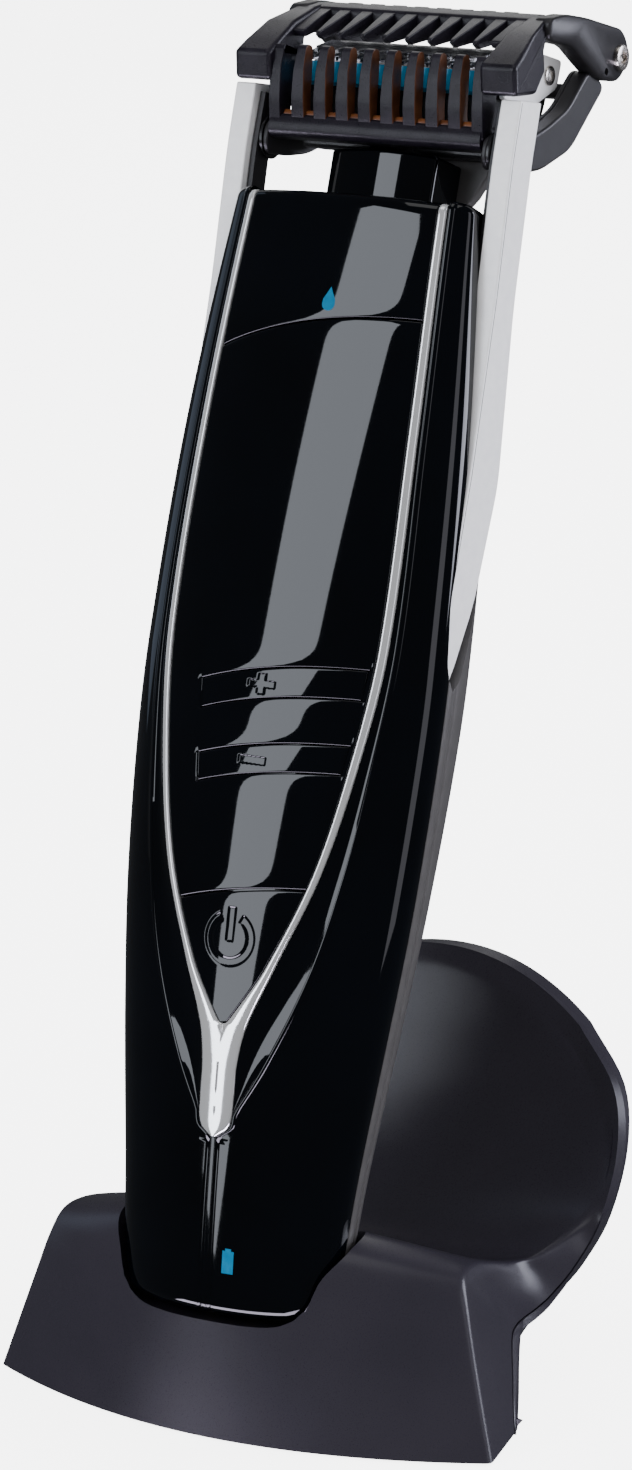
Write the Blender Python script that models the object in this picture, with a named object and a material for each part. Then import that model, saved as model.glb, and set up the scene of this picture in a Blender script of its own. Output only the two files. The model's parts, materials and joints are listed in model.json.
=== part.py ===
"""Beard trimmer standing in its charging stand, as separate parts. Lengths in mm, drawn in metres."""
from bisect import bisect_right
from math import cos, pi, radians, sin

import bmesh
import bpy
from mathutils import Matrix, Vector

MM = 0.001
GAP = 0.3                      # air between parts that touch
WALL = 1.7                     # moulded wall of the handle
FRONT_WALL = 3.4               # front wall, with the pocket for the panel in it
STAND_WALL = 1.5
DOCK_GAP = 1.2                 # air between the handle and its dock

# Handle: a banana-shaped body. w runs up its bent spine, d runs back from its front crest, x is to the right.
FOOT_LEAN = radians(5.5)
LEAN_RATE = radians(0.108)     # lean gained per millimetre of spine
SPINE_Y = -10.2
SPINE_Z = 18.6
BODY_TOP = 160.7
HALF_WIDTH = [(0, 15.2), (2, 16.5), (6, 17.3), (21, 18.8), (42, 21.2), (60, 23.0), (80, 24.1), (95, 24.2),
              (127, 22.6), (BODY_TOP, 19.2)]
THICKNESS = [(0, 14.5), (3, 17.0), (21, 19.5), (42, 22.5), (95, 27.0), (127, 26.0), (BODY_TOP, 19.5)]
WIDEST_DEPTH = [(0, 7.0), (21, 8.5), (60, 10.0), (95, 10.0), (127, 8.2), (BODY_TOP, 4.8)]
SPLIT_DEPTH = [(0, 8.0), (60, 10.5), (BODY_TOP, 9.0)]
FRONT_POWER = 2.0
REAR_POWER = 2.8
CAVITY_HALF = 16.9             # the side walls stay thick enough for the arm channels

# Face panel, its chrome surround and its keys, as half widths along the spine.
PANEL_TIP = 41.5
PANEL_HALF = [(PANEL_TIP, 0.5), (43, 1.6), (50, 5.9), (63.6, 11.4), (79.5, 14.8), (96.5, 16.7), (127, 16.3),
              (BODY_TOP, 14.9)]
TRIM_TIP = 25.5
TRIM_HALF = [(TRIM_TIP, 0.5), (27, 2.3), (31, 2.7), (36, 2.8), (PANEL_TIP, 3.8), (50, 7.2), (63.6, 12.4),
             (79.5, 15.9), (96.5, 17.9), (127, 17.5), (BODY_TOP, 16.0)]
TRIM_TOP = BODY_TOP - 0.6
PANEL_DEEP = 1.5
KEY_DEEP = 1.2
POCKET_DEEP = 2.1
POWER_SEAM = 60.4
CAP_SEAM = 141.4
SWEEP = (0.174, -0.0059, 0.00007)  # the panel's seams and keys rise towards the right as this cubic of x
PLUS_SPAN = (87.4, 91.8)
MINUS_SPAN = (76.8, 81.0)
KEY_LEFT = [(76, -8.4), (92, -10.0)]
KEY_SIDE_WALL = 1.0            # from the panel's edge to a key's right end
LAMP_SPAN = (6.2, 9.8)
LAMP_SIDES = (2.65, 4.4)

# Head and arms, in a straight frame on the comb's pivot: h runs back, u runs up along the arms.
HEAD_LEAN = radians(18.5)
PIVOT_Y = 40.8
PIVOT_Z = 178.4
COMB_TRAVEL = 4.6              # height setting of the comb, from lowest to highest
BRIDGE_SPAN = (-61.4, -58.4)   # the lift bridge's bar, along the head's u
ARM_OUTLINE = [(-4.3, 6.6), (-4.2, -2), (-2.6, -21), (-1.6, -46), (-1.9, -64), (-0.6, -73), (1.0, -76.3),
               (2.6, -73), (5.6, -63), (7.2, -46), (3.4, -21), (1.9, -1), (1.8, 6.6)]
ARM_IN = 20.0
ARM_OUT = 23.2
LINER_IN = 19.0
BLOCK_OUT = 22.9
TEETH = 10
TOOTH_PITCH = 3.65
COMB_HALF = 17.2
DRIVE_BACK = 3.4               # depth of the cutter motor and its shaft
SCREW_BACK = 8.2               # depth of the lift motor and its lead screw

# Stand: rows of its front skin, from the foot's front edge over the seat to the top of the dish.
# Each row holds its middle (y, z), its edge (x, y, z) and the parting line below that edge (x, y, z).
STAND_ROWS = [
    ((-11.0, 0.4), (41.0, 0.0, 0.4), (38.2, 12.0, 0.4)),
    ((-10.6, 8.0), (38.7, 1.3, 8.0), (36.6, 14.4, 4.0)),
    ((-10.1, 15.0), (36.6, 2.6, 15.0), (35.4, 16.5, 6.8)),
    ((-9.6, 20.5), (35.0, 3.8, 20.5), (34.2, 18.5, 9.3)),
    ((-8.6, 26.5), (33.6, 5.4, 24.2), (33.2, 20.3, 11.3)),
    ((-5.2, 30.4), (32.3, 8.6, 25.2), (32.4, 22.4, 12.0)),
    ((2.0, 31.0), (31.2, 13.5, 24.5), (32.1, 25.2, 12.5)),
    ((12.0, 24.5), (30.4, 20.0, 22.6), (32.6, 28.8, 13.2)),
    ((26.0, 17.5), (30.2, 27.0, 20.6), (33.4, 32.4, 14.6)),
    ((36.5, 17.5), (32.2, 31.9, 20.8), (35.0, 36.4, 18.0)),
    ((46.0, 23.5), (34.8, 40.4, 24.5), (36.9, 40.4, 24.0)),
    ((52.5, 33.0), (34.6, 46.7, 32.0), (37.1, 45.2, 33.0)),
    ((56.5, 43.5), (30.6, 51.3, 39.6), (34.0, 50.0, 41.0)),
    ((58.9, 53.0), (24.4, 54.9, 45.0), (25.5, 55.3, 48.0)),
]
TOP_LIP = (60.6, 55.6)         # middle of the parting line at the top of the dish
BASE_BACK = 54.0
PAD_HIGH = 1.0
PLATE_HIGH = 1.4
INLET_BORE = 2.75              # radius of the barrel socket
INLET_DEEP = 9.0


# ---------------------------------------------------------------- helpers

def remove_all():
    for thing in list(bpy.data.objects):
        bpy.data.objects.remove(thing, do_unlink=True)


def material(name, colour, roughness, metallic=0.0):
    made = bpy.data.materials.new(name)
    made.use_nodes = True
    shader = made.node_tree.nodes["Principled BSDF"]
    shader.inputs["Base Color"].default_value = (*colour, 1.0)
    shader.inputs["Roughness"].default_value = roughness
    shader.inputs["Metallic"].default_value = metallic
    made.diffuse_color = (*colour, 1.0)
    return made


def smooth(keys, at):
    """Value of a smooth curve through the (place, value) keys."""
    places = [key[0] for key in keys]
    if at <= places[0]:
        return keys[0][1]
    if at >= places[-1]:
        return keys[-1][1]
    low = bisect_right(places, at) - 1

    def slope(index):
        before, after = max(index - 1, 0), min(index + 1, len(keys) - 1)
        return (keys[after][1] - keys[before][1]) / (places[after] - places[before])

    span = places[low + 1] - places[low]
    t = (at - places[low]) / span
    start, end = keys[low][1], keys[low + 1][1]
    return ((2 * t ** 3 - 3 * t ** 2 + 1) * start + (t ** 3 - 2 * t ** 2 + t) * span * slope(low)
            + (3 * t ** 2 - 2 * t ** 3) * end + (t ** 3 - t ** 2) * span * slope(low + 1))


def steps(start, end, count):
    return [start + (end - start) * index / (count - 1) for index in range(count)]


def lean_at(w):
    return FOOT_LEAN + LEAN_RATE * w


def on_handle(x, d, w):
    """A point of the bent handle in world millimetres."""
    lean = lean_at(w)
    y = SPINE_Y + (cos(FOOT_LEAN) - cos(lean)) / LEAN_RATE + d * cos(lean)
    z = SPINE_Z + (sin(lean) - sin(FOOT_LEAN)) / LEAN_RATE - d * sin(lean)
    return Vector((x, y, z))


def on_head(x, h, u):
    """A point of the straight head frame in world millimetres."""
    return Vector((x, PIVOT_Y + h * cos(HEAD_LEAN) + u * sin(HEAD_LEAN),
                   PIVOT_Z - h * sin(HEAD_LEAN) + u * cos(HEAD_LEAN)))


def head_axis():
    """The way the comb rises."""
    return Vector((0, sin(HEAD_LEAN), cos(HEAD_LEAN)))


def plain(x, y, z):
    return Vector((x, y, z))


def make(name, points, faces, look, origin=(0, 0, 0), lean=0.0):
    """An object from world points, with its own origin and lean about X."""
    place = Matrix.Translation(Vector(origin)) @ Matrix.Rotation(-lean, 4, "X")
    back = place.inverted()
    mesh = bpy.data.meshes.new(name)
    mesh.from_pydata([(back @ Vector(point)) * MM for point in points], [], faces)
    edit = bmesh.new()
    edit.from_mesh(mesh)
    bmesh.ops.recalc_face_normals(edit, faces=edit.faces)
    if edit.calc_volume(signed=True) < 0:
        bmesh.ops.reverse_faces(edit, faces=edit.faces)
    edit.to_mesh(mesh)
    edit.free()
    mesh.shade_smooth()
    mesh.set_sharp_from_angle(angle=radians(32))
    mesh.materials.append(look)
    thing = bpy.data.objects.new(name, mesh)
    thing.location = Vector(origin) * MM
    thing.rotation_euler = (-lean, 0, 0)
    bpy.context.collection.objects.link(thing)
    return thing


def cutter(thing):
    thing.hide_render = True
    thing.display_type = "WIRE"
    return thing


def combine(thing, other, operation="DIFFERENCE"):
    change = thing.modifiers.new(other.name, "BOOLEAN")
    change.operation = operation
    change.object = other
    cutter(other)


def loft(name, rings, look, plate=False, **place):
    """A closed solid through rings of equal length. A plate's rings run over its top and back under it."""
    count = len(rings[0])
    points = [point for ring in rings for point in ring]
    end = (len(rings) - 1) * count
    faces = []
    for row in range(len(rings) - 1):
        for i in range(count):
            j = (i + 1) % count
            faces.append((row * count + i, row * count + j, (row + 1) * count + j, (row + 1) * count + i))
    if plate:
        quads = [(i, i + 1, count - 2 - i, count - 1 - i) for i in range(count // 2 - 1)]
        faces += [tuple(reversed(quad)) for quad in quads] + [tuple(end + i for i in quad) for quad in quads]
    else:
        faces += [tuple(reversed(range(count))), tuple(range(end, end + count))]
    return make(name, points, faces, look, **place)


def prism(name, outline, x0, x1, frame, look, **place):
    """A side outline of (back, up) points, carried from x0 to x1 in a frame."""
    return loft(name, [[frame(x, a, b) for a, b in outline] for x in (x0, x1)], look, **place)


def box(name, spans, frame, look, **place):
    (x0, x1), (a0, a1), (b0, b1) = spans
    return prism(name, [(a0, b0), (a1, b0), (a1, b1), (a0, b1)], x0, x1, frame, look, **place)


def rod(name, start, axis, profile, look, sides=20, **place):
    """A turned solid from (distance along the axis, radius) pairs."""
    axis = Vector(axis).normalized()
    side = axis.orthogonal().normalized()
    other = axis.cross(side)
    rings = [[Vector(start) + axis * along + radius * (side * cos(2 * pi * i / sides)
                                                       + other * sin(2 * pi * i / sides))
              for i in range(sides)] for along, radius in profile]
    return loft(name, rings, look, **place)


def plain_rod(name, start, axis, radius, length, look, sides=20, **place):
    return rod(name, start, axis, [(0, radius), (length, radius)], look, sides, **place)


def rounded(corners, radius, bends=4):
    """A closed outline with rounded corners."""
    outline = []
    for index, corner in enumerate(corners):
        here = Vector(corner)
        before = (Vector(corners[index - 1]) - here)
        after = (Vector(corners[(index + 1) % len(corners)]) - here)
        reach = min(radius, before.length * 0.45, after.length * 0.45)
        first, last = here + before.normalized() * reach, here + after.normalized() * reach
        for step in range(bends + 1):
            t = step / bends
            outline.append(tuple(first * (1 - t) ** 2 + here * 2 * t * (1 - t) + last * t ** 2))
    return outline


# ---------------------------------------------------------------- looks

def looks():
    return {
        "gloss": material("gloss_black", (0.006, 0.008, 0.012), 0.06),
        "matte": material("matte_charcoal", (0.035, 0.035, 0.04), 0.45),
        "satin": material("satin_stand_black", (0.028, 0.027, 0.033), 0.36),
        "chrome": material("chrome", (0.85, 0.86, 0.88), 0.05, 1.0),
        "silver": material("satin_silver", (0.78, 0.79, 0.82), 0.28, 1.0),
        "smoke": material("smoked_comb", (0.035, 0.028, 0.028), 0.3),
        "steel": material("ground_steel", (0.62, 0.62, 0.63), 0.22, 1.0),
        "blue": material("blade_blue", (0.0, 0.25, 0.5), 0.35),
        "cyan": material("cyan_print", (0.0, 0.55, 0.8), 0.3),
        "black": material("housing_black", (0.01, 0.01, 0.011), 0.3),
        "rubber": material("black_rubber", (0.015, 0.015, 0.015), 0.8),
        "board": material("board_green", (0.02, 0.16, 0.07), 0.5),
        "brass": material("brass", (0.75, 0.55, 0.25), 0.25, 1.0),
        "grey": material("inner_grey", (0.3, 0.3, 0.31), 0.5),
        "cell": material("battery_wrap", (0.05, 0.12, 0.3), 0.4),
    }


# ---------------------------------------------------------------- handle

def handle_ring(w, inset, across=28, limit=None):
    """Cross-section of the handle at w, shrunk by inset. A limited one is the hollow in its thick walls."""
    half = smooth(HALF_WIDTH, w) - inset
    half = min(half, limit) if limit else half
    wide = smooth(WIDEST_DEPTH, w)
    front = wide - max(inset, FRONT_WALL if limit else inset)
    rear = smooth(THICKNESS, w) - wide - inset
    ring = []
    for index in range(across):
        turn = 2 * pi * (index + 0.5) / across
        power = REAR_POWER if sin(turn) > 0 else FRONT_POWER
        x = half * abs(cos(turn)) ** (2 / power) * (1 if cos(turn) > 0 else -1)
        depth = abs(sin(turn)) ** (2 / power)
        ring.append(on_handle(x, wide + (rear if sin(turn) > 0 else -front) * depth, w))
    return ring


def crest(x, w):
    """Depth of the handle's front surface at x."""
    half = smooth(HALF_WIDTH, w)
    wide = smooth(WIDEST_DEPTH, w)
    return wide * (1 - (1 - min(1.0, abs(x) / half) ** FRONT_POWER) ** (1 / FRONT_POWER))


def handle_form(name, inset, w0, w1, look, rows=20, limit=None):
    return loft(name, [handle_ring(w, inset, limit=limit) for w in steps(w0, w1, rows)], look)


def level(x, w):
    """The bend of a plate whose rows keep to one w."""
    return 0.0


def swept(x, w):
    """The bend of a plate whose rows rise like the panel's seams."""
    return SWEEP[0] * x + SWEEP[1] * x ** 2 + SWEEP[2] * x ** 3


def brow_bend(x, w):
    return swept(x, w) * (TRIM_TOP - w) / (TRIM_TOP - CAP_SEAM)


def edge_at(side, w, bend):
    """Where a bent row meets an edge that is a function of w."""
    x = side(w)
    for _ in range(8):
        x = side(w + bend(x, w))
    return x


def slab(name, w0, w1, left, right, top, bottom, look, rows=14, columns=9, bend=level, **place):
    """A plate that follows the handle's front, between two edges and two depths under the crest."""
    rings = []
    for w in steps(w0, w1, rows):
        spread = [(x, w + bend(x, w)) for x in steps(edge_at(left, w, bend), edge_at(right, w, bend),
                                                     columns)]
        ring = [on_handle(x, crest(x, v) + top, v) for x, v in spread]
        ring += [on_handle(x, crest(x, v) + bottom, v) for x, v in reversed(spread)]
        rings.append(ring)
    return loft(name, rings, look, plate=True, **place)


def mirrored_slab(name, w0, w1, half, top, bottom, look, rows=14, columns=9, **place):
    return slab(name, w0, w1, lambda w: -half(w), half, top, bottom, look, rows, columns, **place)


def depth_block(name, near, far, look):
    """A block of the handle's bent space between two depths, to split the casing."""
    rings = []
    for w in steps(-12, BODY_TOP + 12, 18):
        rings.append([on_handle(x, depth, w) for x, depth in
                      ((-45, near(w)), (45, near(w)), (45, far), (-45, far))])
    return loft(name, rings, look)


def arm_room(outline, spare):
    """The arm's outline grown by spare, with more behind, where the arm widens below the part it rises to."""
    middle = (outline[0][0] + outline[-1][0]) / 2
    grown = []
    for h, u in outline:
        grown.append((h + (spare + 0.4 if h > middle + 1.5 else -spare), u - (spare if u < -60 else 0)))
    grown[0] = (grown[0][0], 30)
    grown[-1] = (grown[-1][0], 30)
    return grown


def channel(name, side, look):
    return prism(name, arm_room(ARM_OUTLINE, 0.6), side * (LINER_IN - 0.5), side * 40, on_head, look)


def build_casing(look):
    split = lambda w: smooth(SPLIT_DEPTH, w)
    front = handle_form("front_shell", 0, 0, BODY_TOP, look["gloss"], rows=26)
    rear = handle_form("rear_shell", 0, 0, BODY_TOP, look["matte"], rows=26)
    hollow = handle_form("cut_hollow", WALL, WALL, BODY_TOP - WALL, look["grey"], limit=CAVITY_HALF)
    behind = depth_block("cut_behind", split, 60, look["grey"])
    ahead = depth_block("cut_ahead", lambda w: split(w) + GAP, -30, look["grey"])
    pocket = mirrored_slab("cut_pocket", TRIM_TIP - GAP, BODY_TOP + 2, lambda w: smooth(TRIM_HALF, w) + GAP,
                           -3, POCKET_DEEP, look["grey"], rows=22)
    neck_hole = box("cut_neck", ((-10.2, 10.2), (-1.9, 8.7), (-25, 4)), on_head, look["grey"])
    bridge_slot = box("cut_bridge", ((-24, 24), (0.2, 6.4), (BRIDGE_SPAN[0] - 1.4,
                                                            BRIDGE_SPAN[1] + COMB_TRAVEL + 1.2)),
                      on_head, look["grey"])
    left, right = LAMP_SIDES
    lamp_hole = slab("cut_lamp", LAMP_SPAN[0] - GAP, LAMP_SPAN[1] + GAP, lambda w: left - GAP,
                     lambda w: right + GAP, -3, 4, look["grey"], 3, 2)
    contact_slot = box("cut_contacts", ((-7, 7), (6, 12.5), (-4, 3)), on_handle, look["grey"])
    for shell, half_space in ((front, behind), (rear, ahead)):
        combine(shell, hollow)
        combine(shell, half_space)
        for side in (-1, 1):
            combine(shell, channel(f"cut_{shell.name}_channel_{side}", side, look["grey"]))
        combine(shell, neck_hole)
        combine(shell, bridge_slot)
        combine(shell, contact_slot)
    combine(front, pocket)
    combine(front, lamp_hole)
    slab("charge_lamp", *LAMP_SPAN, lambda w: left, lambda w: right, 0.05, 2.6, look["cyan"], 3, 3)


def key(name, span, look, grow=0.0, top=0.0, bottom=KEY_DEEP):
    middle = sum(span) / 2
    return slab(name, span[0] - grow, span[1] + grow, lambda w: smooth(KEY_LEFT, w) - grow,
                lambda w: smooth(PANEL_HALF, w) - KEY_SIDE_WALL + grow, top, bottom, look, 7, 15, bend=swept,
                origin=on_handle(0, 0, middle), lean=lean_at(middle))


def build_panel(look):
    panel_half = lambda w: smooth(PANEL_HALF, w) - GAP
    face = mirrored_slab("face_panel", POWER_SEAM + GAP, CAP_SEAM, panel_half, 0, PANEL_DEEP, look["gloss"],
                         22, 11, bend=swept)
    for name, span in (("plus", PLUS_SPAN), ("minus", MINUS_SPAN)):
        combine(face, key(f"cut_{name}", span, look["grey"], GAP, -3, 5))
        key(f"{name}_button", span, look["gloss"])
    mirrored_slab("brow_panel", CAP_SEAM + GAP, TRIM_TOP, panel_half, 0, PANEL_DEEP, look["gloss"], 6, 11,
                  bend=brow_bend)
    middle = (PANEL_TIP + POWER_SEAM) / 2
    mirrored_slab("power_button", PANEL_TIP + 0.9, POWER_SEAM, panel_half, 0, KEY_DEEP, look["gloss"], 12, 11,
                  bend=swept, origin=on_handle(0, 0, middle), lean=lean_at(middle))
    trim = mirrored_slab("chrome_trim", TRIM_TIP, TRIM_TOP, lambda w: smooth(TRIM_HALF, w), -0.15, PANEL_DEEP,
                         look["chrome"], 26, 11)
    inside = mirrored_slab("cut_trim", PANEL_TIP, BODY_TOP + 2, lambda w: smooth(PANEL_HALF, w), -3, 6,
                           look["grey"], 26, 11)
    combine(trim, inside)


def build_internals(look):
    up = lambda w: Vector((0, sin(lean_at(w)), cos(lean_at(w))))
    middle = on_handle(0, 10.9, 38)
    rod("battery_cell", middle - up(38) * 22, up(38), [(0, 5.9), (44, 5.9), (44, 2.4), (45.2, 2.4)],
        look["cell"], 24)
    box("main_board", ((-9, 9), (4.9, 6.0), (64, 104)), on_handle, look["board"])
    box("chassis", ((-9.5, 9.5), (6.4, 7.4), (63.5, 146)), on_handle, look["grey"])
    drive = head_axis()
    plain_rod("lift_motor", on_head(0, SCREW_BACK, -93), drive, 5.2, 17, look["steel"], 24)
    rod("lead_screw", on_head(0, SCREW_BACK, -75.6), drive, [(0, 1.4), (30, 1.4)], look["brass"], 14,
        origin=on_head(0, SCREW_BACK, -62), lean=HEAD_LEAN)
    motor = rod("cutter_motor", on_head(0, DRIVE_BACK, -44), drive, [(0, 5.7), (26, 5.7), (26, 3), (27.5, 3)],
                look["steel"], 28)
    combine(motor, plain_rod("cut_motor_bore", on_head(0, DRIVE_BACK, -20), drive, 1.25, 10, look["grey"],
                             16))
    rod("drive_shaft", on_head(0, DRIVE_BACK, -19.6), drive, [(0, 0.95), (19, 0.95)], look["steel"], 16,
        origin=on_head(0, DRIVE_BACK, -10), lean=HEAD_LEAN)
    for side, name in ((-1, "left"), (1, "right")):
        box(f"charge_contact_{name}", ((side * 3.6 - 1.8, side * 3.6 + 1.8), (7.2, 11.2), (0.2, 1.2)),
            on_handle, look["brass"])
    for name, w in (("lower", 30), ("upper", 118)):
        back = smooth(THICKNESS, w)
        axis = -Vector((0, cos(lean_at(w)), -sin(lean_at(w))))
        combine(bpy.data.objects["rear_shell"],
                plain_rod(f"cut_case_screw_{name}", on_handle(0, back + 2, w), axis, 2.6, 3.1, look["grey"],
                          16))
        rod(f"case_screw_{name}", on_handle(0, back - 0.1, w), axis, [(0, 2.2), (0.7, 2.2)], look["steel"],
            16)


# ---------------------------------------------------------------- head

def build_neck(look):
    neck = box("neck", ((-8.6, 8.6), (-1.4, 8.2), (-11, -0.9)), on_head, look["gloss"])
    combine(neck, plain_rod("cut_neck_bore", on_head(0, DRIVE_BACK, -12), head_axis(), 2.2,
                            20, look["grey"], 16))
    cover = [(-11.5, -1.5), (11.5, -1.5), (7.0, -8.7), (-7.0, -8.7)]
    loft("neck_rear_cover", [[on_head(x, h, u) for x, u in cover] for h in (8.6, 10.6)], look["matte"])
    housing = [(3.2, -0.5), (11.0, 0.6), (15.2, 4.6), (17.8, 9.0), (18.6, 14.2), (14.0, 15.2), (2.6, 11.2),
               (1.9, 7.8)]
    shell = prism("head_housing", rounded(housing, 1.2, 3), -15.0, 15.0, on_head, look["black"])
    combine(shell, box("cut_drive_room", ((-4, 4), (1.5, 8.5), (-4, 9.6)), on_head, look["grey"]))
    plate = rounded([(3.4, 8.4), (4.6, 13.4), (13.4, 17.2), (19.2, 17.6), (19.0, 13.4), (12.0, 8.8)], 0.8, 3)
    for side, name in ((-1, "left"), (1, "right")):
        prism(f"side_plate_{name}", plate, side * 15.3, side * 16.2, on_head, look["silver"])
        rod(f"side_plate_screw_{name}", on_head(side * 16.3, 15.7, 14.6), (side, 0, 0),
            [(0, 1.5), (0.4, 1.1)],
            look["steel"], 16)
    box("blade_carrier", ((-14.6, 14.6), (-1.2, 1.5), (8.3, 11.3)), on_head, look["blue"])


def comb_outline(count, pitch, tip, root, slit, reach):
    """A saw-tooth outline of (x, forward) points with square-ended teeth."""
    outline = []
    first = -pitch * (count - 1) / 2
    for index in range(count):
        middle = first + pitch * index
        outline += [(middle - slit, root), (middle - tip, reach)]
        outline += [(middle + tip, reach), (middle + slit, root)]
    return outline


def blade_plate(name, teeth, pitch, reach, back, level, thick, half, look, **place):
    """A toothed steel plate lying under the comb's slope."""
    slope = radians(24)
    edge = comb_outline(teeth, pitch, pitch * 0.16, 0.0, pitch * 0.36, reach)
    outline = [(-half, 0.0)] + edge + [(half, 0.0)]
    outline += [(half, -back), (-half, -back)]
    rings = []
    for lift in (0, thick):
        rings.append([on_head(x, 0.6 - f * cos(slope) - lift * sin(slope),
                              level - f * sin(slope) + lift * cos(slope))
                      for x, f in outline])
    return loft(name, rings, look, **place)


def build_blades(look):
    blade_plate("fixed_blade", 22, 1.34, 2.6, 7.0, 12.35, 0.6, 15.0, look["steel"])
    blade_plate("moving_blade", 16, 1.7, 1.9, 4.5, 13.3, 0.5, 13.8, look["steel"],
                origin=on_head(0, 0.6, 13.3),
                lean=HEAD_LEAN)


def build_arms(look):
    for side, name in ((-1, "left"), (1, "right")):
        prism(f"arm_{name}", rounded(ARM_OUTLINE, 2.5, 2), side * ARM_IN, side * ARM_OUT, on_head,
              look["silver"], origin=on_head(0, 0, 0), lean=HEAD_LEAN)
        liner = [(-2.8, 6.0), (-2.9, -2), (-1.5, -21), (-0.6, -46), (-0.4, -66), (4.6, -62), (5.9, -46),
                 (2.3, -21),
                 (0.9, -2), (0.8, 6.0)]
        strip = prism(f"arm_liner_{name}", liner, side * LINER_IN, side * (ARM_IN - 0.2), on_head,
                      look["matte"], origin=on_head(0, 0, 0), lean=HEAD_LEAN)
        combine(strip, plain_rod(f"cut_liner_{name}", on_head(side * 18, 0, 0), (side, 0, 0), 1.2, 4,
                                 look["grey"], 16))
    bridge = box("lift_bridge", ((-18.6, 18.6), (1.0, 5.6), BRIDGE_SPAN), on_head, look["grey"],
                 origin=on_head(0, SCREW_BACK, -60), lean=HEAD_LEAN)
    nut = box("union_nut", ((-4.5, 4.5), (3.6, 12.0), (-62.0, -57.8)), on_head, look["grey"])
    combine(bridge, nut, "UNION")
    combine(bridge, plain_rod("cut_nut", on_head(0, SCREW_BACK, -66), head_axis(), 1.7, 12,
                              look["grey"], 16))


def build_comb(look, place):
    """The comb guide, moulded in one: bar, front teeth, end blocks, top fins and rear ridge."""
    comb = box("comb_guide", ((-COMB_HALF, COMB_HALF), (-3.3, 0.9), (0.0, 3.0)), on_head, look["smoke"],
               **place)
    block = [(-7.0, 11.0), (-5.4, 7.1), (0.4, 8.6), (2.6, 11.6), (3.2, 14.4), (3.3, 18.9), (-0.4, 16.6)]
    frame = [(-0.5, 14.8), (7.4, 18.8), (9.6, 21.0), (8.0, 21.9), (3.2, 18.9), (-1.6, 15.4)]
    tooth = [(-3.2, 2.0), (-0.6, 2.0), (-2.0, 4.4), (-2.7, 9.5), (-3.3, 12.7), (-5.0, 12.4), (-5.2, 9.0),
             (-4.4, 5.0)]
    post = [(-3.0, 1.0), (-0.6, 1.0), (-1.0, 9.6), (-4.6, 9.6)]
    fin = [(-1.6, 14.8), (-0.4, 14.6), (9.0, 19.2), (9.6, 21.3), (8.0, 22.0)]
    ridge = [(6.0, 18.7), (9.4, 19.6), (10.4, 20.8), (9.4, 21.7), (7.8, 21.7), (6.0, 20.6)]
    parts = [prism("union_ridge", ridge, -COMB_HALF, COMB_HALF, on_head, look["smoke"])]
    for side in (-1, 1):
        parts.append(prism(f"union_block_{side}", block, side * (COMB_HALF - 0.2), side * BLOCK_OUT,
                           on_head, look["smoke"]))
        parts.append(prism(f"union_frame_{side}", frame, side * 14.6, side * (COMB_HALF + 1.0), on_head,
                           look["smoke"]))
        parts.append(prism(f"union_post_{side}", post, side * 15.7, side * (COMB_HALF + 0.1), on_head,
                           look["smoke"]))
    for index in range(TEETH):
        middle = TOOTH_PITCH * (index - (TEETH - 1) / 2)
        if 0 < index < TEETH - 1:
            parts.append(prism(f"union_tooth_{index}", tooth, middle - 0.7, middle + 0.7, on_head,
                               look["smoke"]))
            parts.append(prism(f"union_fin_{index}", fin, middle - 0.6, middle + 0.6, on_head, look["smoke"]))
    for part in parts:
        combine(comb, part, "UNION")


def build_cradle(look):
    place = {"origin": on_head(0, 0, 0), "lean": HEAD_LEAN}
    build_comb(look, place)
    cheek = [(-3.0, -1.2), (-1.8, -2.8), (3.7, -2.0), (9.9, -0.3), (17.9, 4.4), (22.4, 11.1), (25.4, 15.4),
             (20.0, 17.0), (17.4, 13.4), (15.2, 10.0), (10.0, 6.2), (3.6, 3.0), (-0.6, 3.0), (-3.0, 1.4)]
    lever = [(4.2, 17.2), (3.8, 20.4), (8.6, 22.2), (15.1, 23.2), (26.3, 24.2), (28.9, 22.2), (29.2, 19.4),
             (27.4, 16.6), (22.0, 15.6), (15.3, 17.4), (11.6, 18.4)]
    for side, name in ((-1, "left"), (1, "right")):
        prism(f"cheek_{name}", rounded(cheek, 1.5, 2), side * 17.4, side * 18.2, on_head, look["matte"],
              **place)
        plain_rod(f"pivot_disc_{name}", on_head(side * 18.4, 0, 0), (side, 0, 0), 3.2, 0.4, look["black"],
                  20, **place)
        prism(f"lever_{name}", rounded(lever, 1.2, 2), side * 18.5, side * 21.5, on_head, look["matte"],
              **place)
        rod(f"knuckle_screw_{name}", on_head(side * 21.7, 26.4, 20.0), (side, 0, 0), [(0, 2.0), (0.7, 1.7)],
            look["steel"], 20, **place)
    box("cradle_tie", ((-17.1, 17.1), (21.2, 23.0), (12.6, 14.6)), on_head, look["matte"], **place)


# ---------------------------------------------------------------- stand

def row_points(row, columns):
    (mid_y, mid_z), edge, _ = row
    points = []
    for s in steps(-1, 1, columns):
        bow = s * s
        points.append(Vector((edge[0] * s, mid_y + (edge[1] - mid_y) * bow, mid_z + (edge[2] - mid_z) * bow)))
    return points


def spread_rows(rows, per_row):
    """The same rows with more between them, along a smooth curve through their values."""
    flat = [(*row[0], *row[1], *row[2]) for row in rows]
    curves = [[(index, values[axis]) for index, values in enumerate(flat)] for axis in range(8)]
    fuller = []
    for at in steps(0, len(rows) - 1, (len(rows) - 1) * per_row + 1):
        v = [smooth(curve, at) for curve in curves]
        fuller.append(((v[0], v[1]), tuple(v[2:5]), tuple(v[5:8])))
    return fuller


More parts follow.
